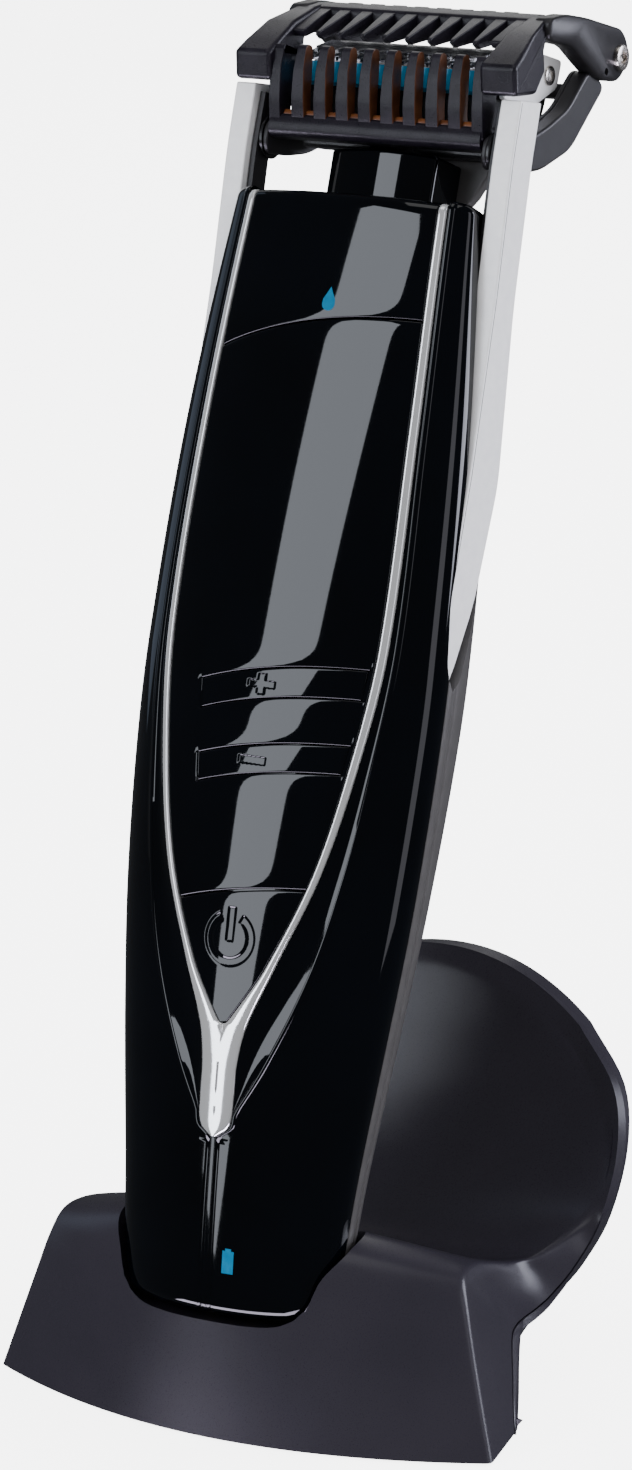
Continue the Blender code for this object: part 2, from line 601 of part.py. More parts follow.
def stand_skin(per_row=1, columns=17, strip=2):
    """Points and faces of the front skin, with the loops along its foot edge and its parting line."""
    rows = spread_rows(STAND_ROWS, per_row)
    points, faces = [], []
    for row in rows:
        points += row_points(row, columns)
    for r in range(len(rows) - 1):
        for c in range(columns - 1):
            a = r * columns + c
            faces.append((a, a + 1, a + columns + 1, a + columns))
    last = (len(rows) - 1) * columns
    ring = [r * columns + columns - 1 for r in range(len(rows))]
    ring += [last + c for c in reversed(range(columns - 1))]
    ring += [r * columns for r in reversed(range(len(rows) - 1))]
    parting = parting_line(rows, columns)
    start, end = [ring[0]], [ring[-1]]
    inner = [points[index] for index in ring]
    lip = set(ring)
    sides = set()
    for step in range(1, strip + 1):
        outer = list(range(len(points), len(points) + len(ring)))
        points += [a.lerp(b, step / strip) for a, b in zip(inner, parting)]
        faces += [(ring[i], outer[i], outer[i + 1], ring[i + 1]) for i in range(len(ring) - 1)]
        sides |= set(outer)
        ring = outer
        start.append(ring[0])
        end.append(ring[-1])
    foot = list(reversed(end[1:])) + list(range(columns)) + start[1:-1]
    return points, faces, ring, foot, lip, sides


def parting_line(rows, columns):
    """The line between the stand's two shells, from its right foot over the top to its left foot."""
    right = [Vector(row[2]) for row in rows]
    corner = rows[-1][2]
    top = [Vector((corner[0] * s, TOP_LIP[0] + (corner[1] - TOP_LIP[0]) * s * s,
                   TOP_LIP[1] + (corner[2] - TOP_LIP[1]) * s * s)) for s in steps(1, -1, columns)[1:-1]]
    return right + top + [Vector((-p.x, p.y, p.z)) for p in reversed(right)]


def inward(point):
    """The way from the parting line into the stand, level at the foot and downwards at the top."""
    return Vector((-point.x, 12, (25 - point.z) * min(1.0, max(0.0, point.z - 5) / 15))).normalized()


def thick_sheet(name, points, faces, seam, lip, look):
    """A closed wall behind a sheet. Its thickness runs inward at the seam and straight back at the lip."""
    edit = bmesh.new()
    corners = [edit.verts.new(point) for point in points]
    for face in faces:
        edit.faces.new([corners[index] for index in face])
    edit.normal_update()
    inner = []
    for index, corner in enumerate(corners):
        way = inward(points[index]) if index in seam else -corner.normal
        if index in lip:
            behind = min(1.0, max(0.0, (points[index].y - 28) / 8))
            way = way.lerp(Vector((0, 0.99, -0.1)), behind).normalized()
        if points[index].z < 1.0:
            way = Vector((way.x, way.y, 0)).normalized()
        inner.append(points[index] + way * STAND_WALL)
    edit.free()
    count = len(points)
    walls = []
    held = {(a, b) for face in faces for a, b in zip(face, face[1:] + face[:1])}
    for a, b in held:
        if (b, a) not in held:
            walls.append((b, a, a + count, b + count))
    back = [tuple(index + count for index in reversed(face)) for face in faces]
    return make(name, points + inner, faces + back + sorted(walls), look)


def build_stand_front(look):
    points, faces, seam, foot, lip, sides = stand_skin()
    shell = thick_sheet("stand_front_shell", points, faces, sides, lip, look["satin"])
    loop = seam + foot
    under = len(points)
    volume = make("cut_volume", points + [Vector((0, 66, 4))],
                  faces + [(loop[(i + 1) % len(loop)], loop[i], under) for i in range(len(loop))],
                  look["grey"])
    cup = loft("union_cup", [handle_ring(w, -2.6) for w in steps(-3.2, 13, 8)], look["satin"])
    combine(cup, volume, "INTERSECT")
    combine(shell, cup, "UNION")
    combine(shell, loft("cut_dock", [handle_ring(w, -DOCK_GAP) for w in steps(-1.2, 60, 24)], look["grey"]))
    for side in (-1, 1):
        combine(shell, plain_rod(f"cut_pin_{side}", on_handle(side * 3.6, 9.2, -14), dock_axis(), 1.5, 18,
                                 look["grey"], 12))


def dock_axis():
    return Vector((0, sin(FOOT_LEAN), cos(FOOT_LEAN)))


def heel(turn, wide, start):
    """The footprint behind the front corners, where it narrows towards the back."""
    side = 1 if cos(turn) > 0 else -1
    return (side * wide * abs(cos(turn)) ** 1.7, start + (BASE_BACK - start) * (1 - abs(cos(turn)) ** 2.8))


def build_stand_rear(look):
    """The shell behind the parting line: a band straight back, then a bulging wall down to the base."""
    line = parting_line(STAND_ROWS, 17)
    count = len(line)
    points = []
    for index, edge in enumerate(line):
        turn = pi * (0.03 + 0.94 * index / (count - 1))
        aside = 1 if edge.x > 0 else -1
        foot = Vector((*heel(turn, 37.6, 14.0), 0.6))
        band = min(1.0, max(0.12, edge.z / 16))
        second = edge + Vector((-aside * min(1.0, abs(edge.x) / 30) * 0.4, 5.0, -0.6)) * band
        second.z = max(second.z, 0.6)
        bulge = Vector((second.x * 0.4 + foot.x * 0.6, second.y - 1.0 + 3.0 * (1 - band), second.z * 0.5))
        points.append(Vector((edge.x, edge.y + GAP, max(0.6, edge.z - GAP))))
        points += [second * (1 - t) ** 2 + bulge * 2 * t * (1 - t) + foot * t ** 2 for t in steps(0, 1, 6)]
    wide = len(points) // count
    faces = [(i * wide + k, i * wide + k + 1, (i + 1) * wide + k + 1, (i + 1) * wide + k)
             for i in range(count - 1) for k in range(wide - 1)]
    shell = thick_sheet("stand_rear_shell", points, faces, {i * wide for i in range(count)}, (),
                        look["satin"])
    combine(shell, box("cut_inlet", ((-5.2, 5.2), (36, 70), (3.6, 11.4)), plain, look["grey"]))


def base_outline(inset):
    """The stand's footprint, shrunk towards its middle."""
    outline = [(x, -11 + 11 * (x / 41) ** 2) for x in steps(-41, 41, 15)]
    outline += [heel(turn, 38.2, 13.0) for turn in steps(0.05, pi - 0.05, 17)]
    return [(x * (1 - inset / 40), 18 + (y - 18) * (1 - inset / 30)) for x, y in outline]


def floor_plate(name, inset, low, high, look):
    return loft(name, [[Vector((x, y, z)) for x, y in base_outline(inset)] for z in (low, high)], look)


def build_stand(look):
    build_stand_front(look)
    build_stand_rear(look)
    floor_plate("stand_foot_pad", 4.0, 0, PAD_HIGH, look["rubber"])
    floor_plate("stand_base_plate", 4.6, PAD_HIGH + 0.1, PAD_HIGH + 0.1 + PLATE_HIGH, look["satin"])
    box("charge_board", ((-12, 12), (-4, 16), (5.0, 6.4)), plain, look["board"])
    box("stand_ballast", ((-22, 22), (20, 32), (3.0, 9.0)), plain, look["steel"])
    inlet = box("dc_inlet_socket", ((-4.6, 4.6), (36, 47.5), (4.0, 10.8)), plain, look["black"])
    combine(inlet, plain_rod("cut_inlet_bore", Vector((0, 47.5 - INLET_DEEP, 7.4)), (0, 1, 0), INLET_BORE,
                             INLET_DEEP + 2, look["grey"], 32))
    for side, name in ((-1, "left"), (1, "right")):
        top = on_handle(side * 3.6, 9.2, -0.4)
        rod(f"charge_pin_{name}", top - dock_axis() * 10.4, dock_axis(), [(0, 1.2), (9.6, 1.2), (10.4, 0.7)],
            look["brass"], 14)


def main():
    remove_all()
    look = looks()
    build_casing(look)
    build_panel(look)
    build_internals(look)
    build_neck(look)
    build_blades(look)
    build_arms(look)
    build_cradle(look)
    build_stand(look)


main()
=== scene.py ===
"""The looks of a beard trimmer standing in its charging stand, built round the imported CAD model.

Lengths are millimetres until a mesh is made. The handle has a bent frame (x, d, w): across, back from
the front crest, and up the spine. The head has a straight frame (x, h, u): across, back, and up the arms.
"""

import json
from bisect import bisect_right
from contextlib import contextmanager
from math import acos, asin, atan2, cos, exp, hypot, pi, radians, sin, sqrt

import bmesh
import bpy
from mathutils import Matrix, Vector


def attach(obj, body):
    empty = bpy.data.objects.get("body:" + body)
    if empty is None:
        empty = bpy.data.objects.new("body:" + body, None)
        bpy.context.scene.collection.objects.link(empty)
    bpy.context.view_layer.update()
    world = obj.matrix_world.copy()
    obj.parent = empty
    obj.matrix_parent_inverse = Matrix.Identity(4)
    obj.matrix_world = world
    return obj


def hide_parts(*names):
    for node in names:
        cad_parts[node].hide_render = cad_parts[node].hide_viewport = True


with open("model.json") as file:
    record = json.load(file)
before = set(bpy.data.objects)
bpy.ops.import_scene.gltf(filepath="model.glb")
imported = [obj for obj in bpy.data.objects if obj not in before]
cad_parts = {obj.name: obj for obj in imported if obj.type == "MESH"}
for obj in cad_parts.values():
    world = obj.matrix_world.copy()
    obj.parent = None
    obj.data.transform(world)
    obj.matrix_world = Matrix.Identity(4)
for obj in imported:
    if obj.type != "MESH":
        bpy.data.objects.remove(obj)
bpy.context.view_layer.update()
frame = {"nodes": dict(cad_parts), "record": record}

MM = 0.001
GAP = 0.3

# Handle, as in the CAD.
FOOT_LEAN = radians(5.5)
LEAN_RATE = radians(0.108)
SPINE_Y = -10.2
SPINE_Z = 18.6
BODY_TOP = 160.7
HALF_WIDTH = [(0, 15.2), (2, 16.5), (6, 17.3), (21, 18.8), (42, 21.2), (60, 23.0), (80, 24.1), (95, 24.2),
              (127, 22.6), (BODY_TOP, 19.2)]
THICKNESS = [(0, 14.5), (3, 17.0), (21, 19.5), (42, 22.5), (95, 27.0), (127, 26.0), (BODY_TOP, 19.5)]
WIDEST_DEPTH = [(0, 7.0), (21, 8.5), (60, 10.0), (95, 10.0), (127, 8.2), (BODY_TOP, 4.8)]
SPLIT_DEPTH = [(0, 8.0), (60, 10.5), (BODY_TOP, 9.0)]
REAR_POWER = 2.8
END_ROUND = 1.5
REAR_GROOVE = [(0.25, 0.0), (1.6, 0.0), (1.8, 0.05), (2.0, 0.25), (2.2, 0.3), (2.4, 0.25), (2.6, 0.05),
               (2.8, 0.0)]     # distance behind the split, depth

# Panel, chrome surround and the bead outside it, as half widths up the spine.
PANEL_TIP = 41.5
PANEL_HALF = [(PANEL_TIP, 0.5), (43, 1.6), (50, 5.9), (63.6, 11.4), (79.5, 14.8), (96.5, 16.7), (127, 16.3),
              (BODY_TOP, 14.9)]
TRIM_TIP = 25.5
TRIM_HALF = [(TRIM_TIP, 0.5), (27, 2.3), (31, 2.7), (36, 2.8), (PANEL_TIP, 3.8), (50, 7.2), (63.6, 12.4),
             (79.5, 15.9), (96.5, 17.9), (127, 17.5), (BODY_TOP, 16.0)]
BEAD_HALF = [(25, 0.8), (36, 7.0), (50, 12.6), (63.6, 15.8), (76, 17.6), (96.5, 19.2), (127, 18.4),
             (BODY_TOP, 16.7)]
BEAD_START = 25.0
BEAD_WIDE = 0.38
BEAD_HIGH = 0.16
VALLEY_DEEP = 0.3
TRIM_TOP = BODY_TOP - 0.6
TRIM_PLAY = 0.12               # between the chrome surround and what it sits in
TRIM_THICK = 1.4
POCKET_DEEP = 2.0
PANEL_THICK = 1.3
POWER_SEAM = 60.4
CAP_SEAM = 141.4
SWEEP = (0.174, -0.0059, 0.00007)
PLUS_SPAN = (87.4, 91.8)
MINUS_SPAN = (76.8, 81.0)
KEY_LEFT = [(76, -8.4), (92, -10.0)]
KEY_SIDE_WALL = 0.75
COLUMNS_AT = 80.0              # where the face's columns are spaced
SLIT = 0.13                    # half of the gap round a key
SEAM_EDGE = 0.16               # radius of the rounded edges along the seams
SIGN_EDGE = 0.1                # width over which a sign's edge falls
LAMP_SPAN = (6.2, 9.8)
LAMP_SIDES = (2.65, 4.4)
POWER_CENTRE = (-0.1, 53.6)
PLUS_CENTRE = (0.3, 89.6)
MINUS_CENTRE = (0.3, 78.85)
DROP_CENTRE = (1.4, 144.4)

# Head and arms.
HEAD_LEAN = radians(18.5)
PIVOT_Y = 40.8
PIVOT_Z = 178.4
ARM_OUTLINE = [(-4.3, 6.6), (-4.2, -2), (-2.6, -21), (-1.6, -46), (-1.9, -64), (-0.6, -73), (1.0, -76.3),
               (2.6, -73), (5.6, -63), (7.2, -46), (3.4, -21), (1.9, -1), (1.8, 6.6)]
ARM_IN = 20.0
ARM_OUT = 23.2
LINER_IN = 19.0
ARM_PLAY = 0.45                # between an arm and its channel in the handle
TEETH = 10
TOOTH_PITCH = 3.65
COMB_HALF = 17.2
ROOT_HALF = 0.85
NECK_HALF = 8.6
SIDES = ((-1, "left"), (1, "right"))
BLOCK_OUT = 22.9

# Stand rows: middle (y, z), edge (x, y, z) and the parting line below that edge (x, y, z).
STAND_ROWS = [
    ((-11.0, 0.4), (41.0, 0.0, 0.4), (38.2, 12.0, 0.4)),
    ((-10.6, 8.0), (38.7, 1.3, 8.0), (36.6, 14.4, 4.0)),
    ((-10.1, 15.0), (36.6, 2.6, 15.0), (35.4, 16.5, 6.8)),
    ((-9.6, 20.5), (35.0, 3.8, 20.5), (34.2, 18.5, 9.3)),
    ((-8.6, 26.5), (33.6, 5.4, 24.2), (33.2, 20.3, 11.3)),
    ((-5.2, 30.4), (32.3, 8.6, 25.2), (32.4, 22.4, 12.0)),
    ((2.0, 31.0), (31.2, 13.5, 24.5), (32.1, 25.2, 12.5)),
    ((12.0, 24.5), (30.4, 20.0, 22.6), (32.6, 28.8, 13.2)),
    ((26.0, 17.5), (30.2, 27.0, 20.6), (33.4, 32.4, 14.6)),
    ((36.5, 17.5), (32.2, 31.9, 20.8), (35.0, 36.4, 18.0)),
    ((46.0, 23.5), (34.8, 40.4, 24.5), (36.9, 40.4, 24.0)),
    ((52.5, 33.0), (34.6, 46.7, 32.0), (37.1, 45.2, 33.0)),
    ((56.5, 43.5), (30.6, 51.3, 39.6), (34.0, 50.0, 41.0)),
    ((58.9, 53.0), (24.4, 54.9, 45.0), (25.5, 55.3, 48.0)),
]
TOP_LIP = (60.6, 55.6)
BASE_BACK = 54.0
STAND_WALL = 1.3
SHEET_FOOT = 0.6               # height of the rear sheet's lower edge
INLET = (5.2, 3.6, 11.4)       # half width, low and high edge of the inlet's window
INLET_WALL = 0.7

# Looks: dark and light patches of colour, roughness from smooth to rough, patches and grains per metre, the
# grain's depth in metres and its strength.
LOOKS = {
    "gloss_black": ((0.0003, 0.0006, 0.0012), (0.0007, 0.0013, 0.0026), (0.02, 0.045), 35, 2600, 2e-6, 0.05),
    # A lighter copy of the matte charcoal, with painted light: the rear shell and the plate behind the neck
    # wear it in place of their charcoal.
    "charcoal_painted_lit": ((0.062, 0.059, 0.060), (0.074, 0.071, 0.072), (0.3, 0.42), 500, 7000, 3e-5, 0.3),
    "matte_charcoal": ((0.013, 0.012, 0.014), (0.018, 0.017, 0.020), (0.32, 0.45), 400, 7000, 3e-5, 0.3),
    "satin_stand_black": ((0.021, 0.0188, 0.027), (0.026, 0.0232, 0.033), (0.24, 0.36), 45, 8000, 3e-5, 0.25),
    "chrome": ((0.92, 0.93, 0.95), (0.97, 0.97, 0.98), (0.05, 0.12), 60, 1500, 4e-6, 0.1),
    "satin_silver": ((0.88, 0.88, 0.90), (0.95, 0.95, 0.96), (0.3, 0.42), 600, 9000, 2e-5, 0.25),
    "smoked_comb": ((0.006, 0.005, 0.009), (0.014, 0.0115, 0.0185), (0.22, 0.42), 260, 6500, 6e-5, 0.5),
    # Painted glow: light shining through the smoked comb, worn by the teeth's sideways faces.
    "comb_painted_glow": ((0.04, 0.014, 0.006), (0.10, 0.036, 0.014), (0.25, 0.4), 420, 4200, 5e-5, 0.35),
    # Painted glow of light shining through the smoked comb, on small blocks at the bottom of each gap between
    # the teeth.
    "comb_root_painted_glow": ((0.085, 0.024, 0.006), (0.16, 0.05, 0.012), (0.25, 0.4), 600, 4200, 5e-5, 0.3),
    "ground_steel": ((0.5, 0.5, 0.52), (0.66, 0.66, 0.67), (0.16, 0.34), 300, 9000, 1e-5, 0.25),
    "screw_steel": ((0.55, 0.51, 0.46), (0.74, 0.71, 0.66), (0.2, 0.34), 900, 7000, 1e-5, 0.2),
    "blade_blue": ((0.0, 0.19, 0.38), (0.003, 0.27, 0.5), (0.25, 0.4), 500, 5000, 3e-5, 0.2),
    "cyan_print": ((0.0, 0.125, 0.25), (0.0005, 0.155, 0.30), (0.35, 0.45), 900, 6000, 1e-5, 0.1),
    "housing_black": ((0.006, 0.006, 0.007), (0.012, 0.012, 0.014), (0.16, 0.3), 150, 6000, 3e-5, 0.25),
    "black_rubber": ((0.012, 0.012, 0.012), (0.02, 0.02, 0.02), (0.7, 0.88), 60, 3000, 1e-4, 0.5),
    "board_green": ((0.01, 0.1, 0.04), (0.03, 0.18, 0.08), (0.4, 0.55), 60, 9000, 2e-5, 0.35),
    "brass": ((0.62, 0.44, 0.18), (0.78, 0.58, 0.27), (0.16, 0.3), 500, 9000, 2e-5, 0.35),
    "inner_grey": ((0.22, 0.22, 0.23), (0.33, 0.33, 0.34), (0.45, 0.6), 60, 9000, 2e-5, 0.35),
    "battery_wrap": ((0.03, 0.09, 0.25), (0.06, 0.14, 0.34), (0.3, 0.45), 60, 9000, 2e-5, 0.35),
    "floor_paper": ((0.86, 0.86, 0.87), (0.9, 0.9, 0.9), (0.6, 0.75), 4, 600, 1e-4, 0.1),
}
SPECIAL = {
    "satin_stand_black": {"specular": 0.42},
    "chrome": {"metallic": 0.7},
    "satin_silver": {"metallic": 0.15},
    "smoked_comb": {"speck": 0.12, "specular": 0.35},
    "comb_painted_glow": {"specular": 0.3},
    "ground_steel": {"metallic": 1.0, "stretch": (0.05, 1, 1)},
    "screw_steel": {"metallic": 1.0},
    "cyan_print": {"specular": 0.08},
    "housing_black": {"speck": 0.2},
    "brass": {"metallic": 1.0},
}

# Stage, in metres.
FLOOR_HALF = 3.0
FLOOR_GLOW = 5.0
HANDLE_MIDDLE = Vector((0, 0.02, 0.1))
STRIP_AIM = Vector((0, 0.02, 0.12))
CAMERA_PLACE = Vector((0.38379, -0.63986, 0.27831))
CAMERA_DOWN = 13.41
CAMERA_TURN = 30.12
LENS = 134.7


# ---------------------------------------------------------------- frames and meshes

def smooth(keys, at):
    """Value of a smooth curve through the (place, value) keys."""
    places = [key[0] for key in keys]
    if at <= places[0]:
        return keys[0][1]
    if at >= places[-1]:
        return keys[-1][1]
    low = bisect_right(places, at) - 1

    def slope(index):
        before, after = max(index - 1, 0), min(index + 1, len(keys) - 1)
        return (keys[after][1] - keys[before][1]) / (places[after] - places[before])

    span = places[low + 1] - places[low]
    t = (at - places[low]) / span
    start, end = keys[low][1], keys[low + 1][1]
    return ((2 * t ** 3 - 3 * t ** 2 + 1) * start + (t ** 3 - 2 * t ** 2 + t) * span * slope(low)
            + (3 * t ** 2 - 2 * t ** 3) * end + (t ** 3 - t ** 2) * span * slope(low + 1))


def steps(start, end, count):
    return [start + (end - start) * index / (count - 1) for index in range(count)]


def lean_at(w):
    return FOOT_LEAN + LEAN_RATE * w


def on_handle(x, d, w):
    lean = lean_at(w)
    y = SPINE_Y + (cos(FOOT_LEAN) - cos(lean)) / LEAN_RATE + d * cos(lean)
    z = SPINE_Z + (sin(lean) - sin(FOOT_LEAN)) / LEAN_RATE - d * sin(lean)
    return Vector((x, y, z))


def on_head(x, h, u):
    return Vector((x, PIVOT_Y + h * cos(HEAD_LEAN) + u * sin(HEAD_LEAN),
                   PIVOT_Z - h * sin(HEAD_LEAN) + u * cos(HEAD_LEAN)))


@contextmanager
def edited(mesh):
    """The mesh as a bmesh, written back afterwards."""
    edit = bmesh.new()
    edit.from_mesh(mesh)
    yield edit
    edit.to_mesh(mesh)
    edit.free()


def face_out(edit):
    """Normals outward, on a closed body."""
    bmesh.ops.recalc_face_normals(edit, faces=edit.faces)
    if edit.calc_volume(signed=True) < 0:
        bmesh.ops.reverse_faces(edit, faces=edit.faces)


def shade(mesh, sharp=34):
    """Smooth shading, with edges sharp past an angle in degrees."""
    mesh.shade_smooth()
    mesh.set_sharp_from_angle(angle=radians(sharp))


def added(name, data):
    thing = bpy.data.objects.new(name, data)
    bpy.context.collection.objects.link(thing)
    return thing


def solid(name, points, faces, look, sharp=34, open_sheet=False):
    """A smooth-shaded object from millimetre points."""
    mesh = bpy.data.meshes.new(name)
    mesh.from_pydata([Vector(point) * MM for point in points], [], faces)
    with edited(mesh) as edit:
        if open_sheet:
            bmesh.ops.recalc_face_normals(edit, faces=edit.faces)
        else:
            face_out(edit)
    shade(mesh, sharp)
    mesh.materials.append(look)
    return added(name, mesh)


def place(thing, body, slot, *nodes):
    """The piece rides on a body, in the place of CAD nodes if any. The slot is not used."""
    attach(thing, body)
    if nodes:
        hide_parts(*nodes)


def change(thing, kind, **settings):
    made = thing.modifiers.new(kind.lower(), kind)
    for key, value in settings.items():
        setattr(made, key, value)
    return made


def soften(thing, width, segments=2, angle=30):
    """Rounded edges."""
    change(thing, "BEVEL", width=width * MM, segments=segments, limit_method="ANGLE",
           angle_limit=radians(angle), harden_normals=True)
    return thing


def bake(thing):
    """The object's mesh with its modifiers applied."""
    seen = bpy.context.evaluated_depsgraph_get()
    made = bpy.data.meshes.new_from_object(thing.evaluated_get(seen))
    thing.modifiers.clear()
    thing.data = made
    return thing


def cut(thing, others, operation="DIFFERENCE"):
    """Booleans, applied, after which the cutters are removed."""
    for other in others:
        change(thing, "BOOLEAN", operation=operation, object=other, solver="EXACT")
    bake(thing)
    for other in others:
        bpy.data.objects.remove(other, do_unlink=True)
    shade(thing.data)
    return thing


def joined(name, things):
    """One object from several, with their modifiers applied."""
    edit = bmesh.new()
    looks = []
    for thing in things:
        bake(thing)
        start = len(edit.faces)
        edit.from_mesh(thing.data)
        edit.faces.ensure_lookup_table()
        slots = []
        for look in thing.data.materials:
            if look not in looks:
                looks.append(look)
            slots.append(looks.index(look))
        for face in edit.faces[start:]:
            face.material_index = slots[min(face.material_index, len(slots) - 1)]
    mesh = bpy.data.meshes.new(name)
    edit.to_mesh(mesh)
    edit.free()
    for look in looks:
        mesh.materials.append(look)
    for thing in things:
        bpy.data.objects.remove(thing, do_unlink=True)
    return added(name, mesh)


def loft(name, rings, look, closed=True, caps=True, **settings):
    """A surface through rings of equal length."""
    count = len(rings[0])
    points = [point for ring in rings for point in ring]
    faces = []
    for row in range(len(rings) - 1):
        for i in range(count if closed else count - 1):
            j = (i + 1) % count
            faces.append((row * count + i, row * count + j, (row + 1) * count + j, (row + 1) * count + i))
    if caps:
        faces += [tuple(reversed(range(count))), tuple(range((len(rings) - 1) * count, len(rings) * count))]
    return solid(name, points, faces, look, **settings)


def prism(name, outline, x0, x1, look, at=on_head, **settings):
    """A side outline of (back, up) points, carried from x0 to x1."""
    return loft(name, [[at(x, a, b) for a, b in outline] for x in (x0, x1)], look, **settings)


def bent(start, pull, end, count):
    """Points along a curve from start to end that leans towards pull."""
    return [start * (1 - t) ** 2 + pull * 2 * t * (1 - t) + end * t ** 2 for t in steps(0, 1, count)]


def rounded(corners, radius, bends=5):
    """A closed outline with rounded corners."""
    outline = []
    for index, corner in enumerate(corners):
        here = Vector(corner)
        before = Vector(corners[index - 1]) - here
        after = Vector(corners[(index + 1) % len(corners)]) - here
        reach = min(radius, before.length * 0.45, after.length * 0.45)
        first, last = here + before.normalized() * reach, here + after.normalized() * reach
        outline += [tuple(point) for point in bent(first, here, last, bends + 1)]
    return outline


def box_outline(left, right, low, high):
    return [(left, low), (right, low), (right, high), (left, high)]


def turned(name, start, axis, profile, look, sides=48, star=None, **settings):
    """A turned solid from (distance along the axis, radius) pairs, lobed from the star index on."""
    axis = Vector(axis).normalized()
    side = axis.orthogonal().normalized()
    other = axis.cross(side)
    rings = []
    for index, (along, radius) in enumerate(profile):
        ring = []
        for i in range(sides):
            turn = 2 * pi * i / sides
            reach = radius * (1 + 0.2 * cos(6 * turn)) if star is not None and index >= star else radius
            ring.append(Vector(start) + axis * along + reach * (side * cos(turn) + other * sin(turn)))
        rings.append(ring)
    return loft(name, rings, look, **settings)


# ---------------------------------------------------------------- materials

def tree_of(name):
    made = bpy.data.materials.new(name)
    made.use_nodes = True
    return made, made.node_tree, made.node_tree.nodes["Principled BSDF"]


def link(tree, start, end):
    tree.links.new(start, end)


def noise(tree, scale, detail=4.0, roughness=0.55, stretch=None):
    """A noise texture over the object's own coordinates, in features per metre."""
    coordinates = tree.nodes.new("ShaderNodeTexCoord")
    texture = tree.nodes.new("ShaderNodeTexNoise")
    texture.inputs["Scale"].default_value = scale
    texture.inputs["Detail"].default_value = detail
    texture.inputs["Roughness"].default_value = roughness
    if stretch:
        mapping = tree.nodes.new("ShaderNodeMapping")
        mapping.inputs["Scale"].default_value = stretch
        link(tree, coordinates.outputs["Object"], mapping.inputs["Vector"])
        link(tree, mapping.outputs["Vector"], texture.inputs["Vector"])
    else:
        link(tree, coordinates.outputs["Object"], texture.inputs["Vector"])
    return texture.outputs["Fac"]


def ramp(tree, value, stops):
    """A colour or grey ramp over a value."""
    made = tree.nodes.new("ShaderNodeValToRGB")
    elements = made.color_ramp.elements
    while len(elements) < len(stops):
        elements.new(0.5)
    for element, (at, colour) in zip(elements, stops):
        element.position = at
        element.color = (*colour, 1.0) if isinstance(colour, tuple) else (colour, colour, colour, 1.0)
    link(tree, value, made.inputs["Fac"])
    return made.outputs["Color"]


def bump(tree, value, strength, distance, shader):
    made = tree.nodes.new("ShaderNodeBump")
    made.inputs["Strength"].default_value = strength
    made.inputs["Distance"].default_value = distance
    link(tree, value, made.inputs["Height"])
    link(tree, made.outputs["Normal"], shader.inputs["Normal"])


def plastic(name, dark, light, rough, patch, grain, grain_depth, strength, metallic=0.0, stretch=None,
            speck=0.0, specular=0.5):
    """Moulded or painted surface: colour patches, fine grain in its bump and a varying roughness."""
    made, tree, shader = tree_of(name)
    patches = noise(tree, patch, 5.0)
    fine = noise(tree, grain, 3.0, 0.6, stretch)
    base = ramp(tree, patches, [(0.3, dark), (0.7, light)])
    if speck:
        mix = tree.nodes.new("ShaderNodeMix")
        mix.data_type = "RGBA"
        specks = ramp(tree, noise(tree, grain * 0.55, 2.0), [(0.60, 0.0), (0.72, speck)])
        link(tree, specks, mix.inputs["Factor"])
        link(tree, base, mix.inputs[6])
        mix.inputs[7].default_value = (*[min(1.0, part * 2.2 + 0.05) for part in light], 1.0)
        base = mix.outputs[2]
    link(tree, base, shader.inputs["Base Color"])
    link(tree, ramp(tree, fine, [(0.25, rough[0]), (0.75, rough[1])]), shader.inputs["Roughness"])
    shader.inputs["Metallic"].default_value = metallic
    shader.inputs["Specular IOR Level"].default_value = specular
    bump(tree, fine, strength, grain_depth, shader)
    return made


def build_looks():
    return {name: plastic(name, *values, **SPECIAL.get(name, {})) for name, values in LOOKS.items()}


def dress_cad(looks):
    """Every CAD node shows the procedural look of its slot."""
    for entry in frame["record"]["subparts"]:
        node = frame["nodes"][entry["node"]]
        look = looks[entry["material_slot"]]
        if entry["node"].endswith(("screw_left", "screw_right", "screw_lower", "screw_upper")):
            look = looks["screw_steel"]
        for slot in node.material_slots:
            slot.material = look


# ---------------------------------------------------------------- handle

def half_width(w, inset=0.0):
    return smooth(HALF_WIDTH, w) - inset


def widest(w):
    return smooth(WIDEST_DEPTH, w)


def crest(x, w, inset=0.0):
    """Depth of the handle's front surface at x."""
    half = half_width(w, inset)
    wide = widest(w)
    return wide - (wide - inset) * sqrt(max(0.0, 1 - min(1.0, abs(x) / half) ** 2))


def end_inset(w):
    near = min(w, BODY_TOP - w)
    if near >= END_ROUND:
        return 0.0
    return END_ROUND - sqrt(END_ROUND ** 2 - (END_ROUND - near) ** 2)


def trim_half(w):
    return smooth(TRIM_HALF, w) if w >= TRIM_TIP else 0.1


def bead_half(w):
    if w <= BEAD_START:
        return 0.8
    return max(smooth(BEAD_HALF, w), trim_half(w) + BEAD_WIDE + TRIM_PLAY)


def side_x(d, w, inset):
    """Half width of the handle at a depth behind its widest."""
    wide = widest(w)
    rear = smooth(THICKNESS, w) - wide - inset
    behind = max(0.0, (d - wide) / rear)
    return (half_width(w, inset)) * max(0.0, 1 - behind ** REAR_POWER) ** (1 / REAR_POWER)


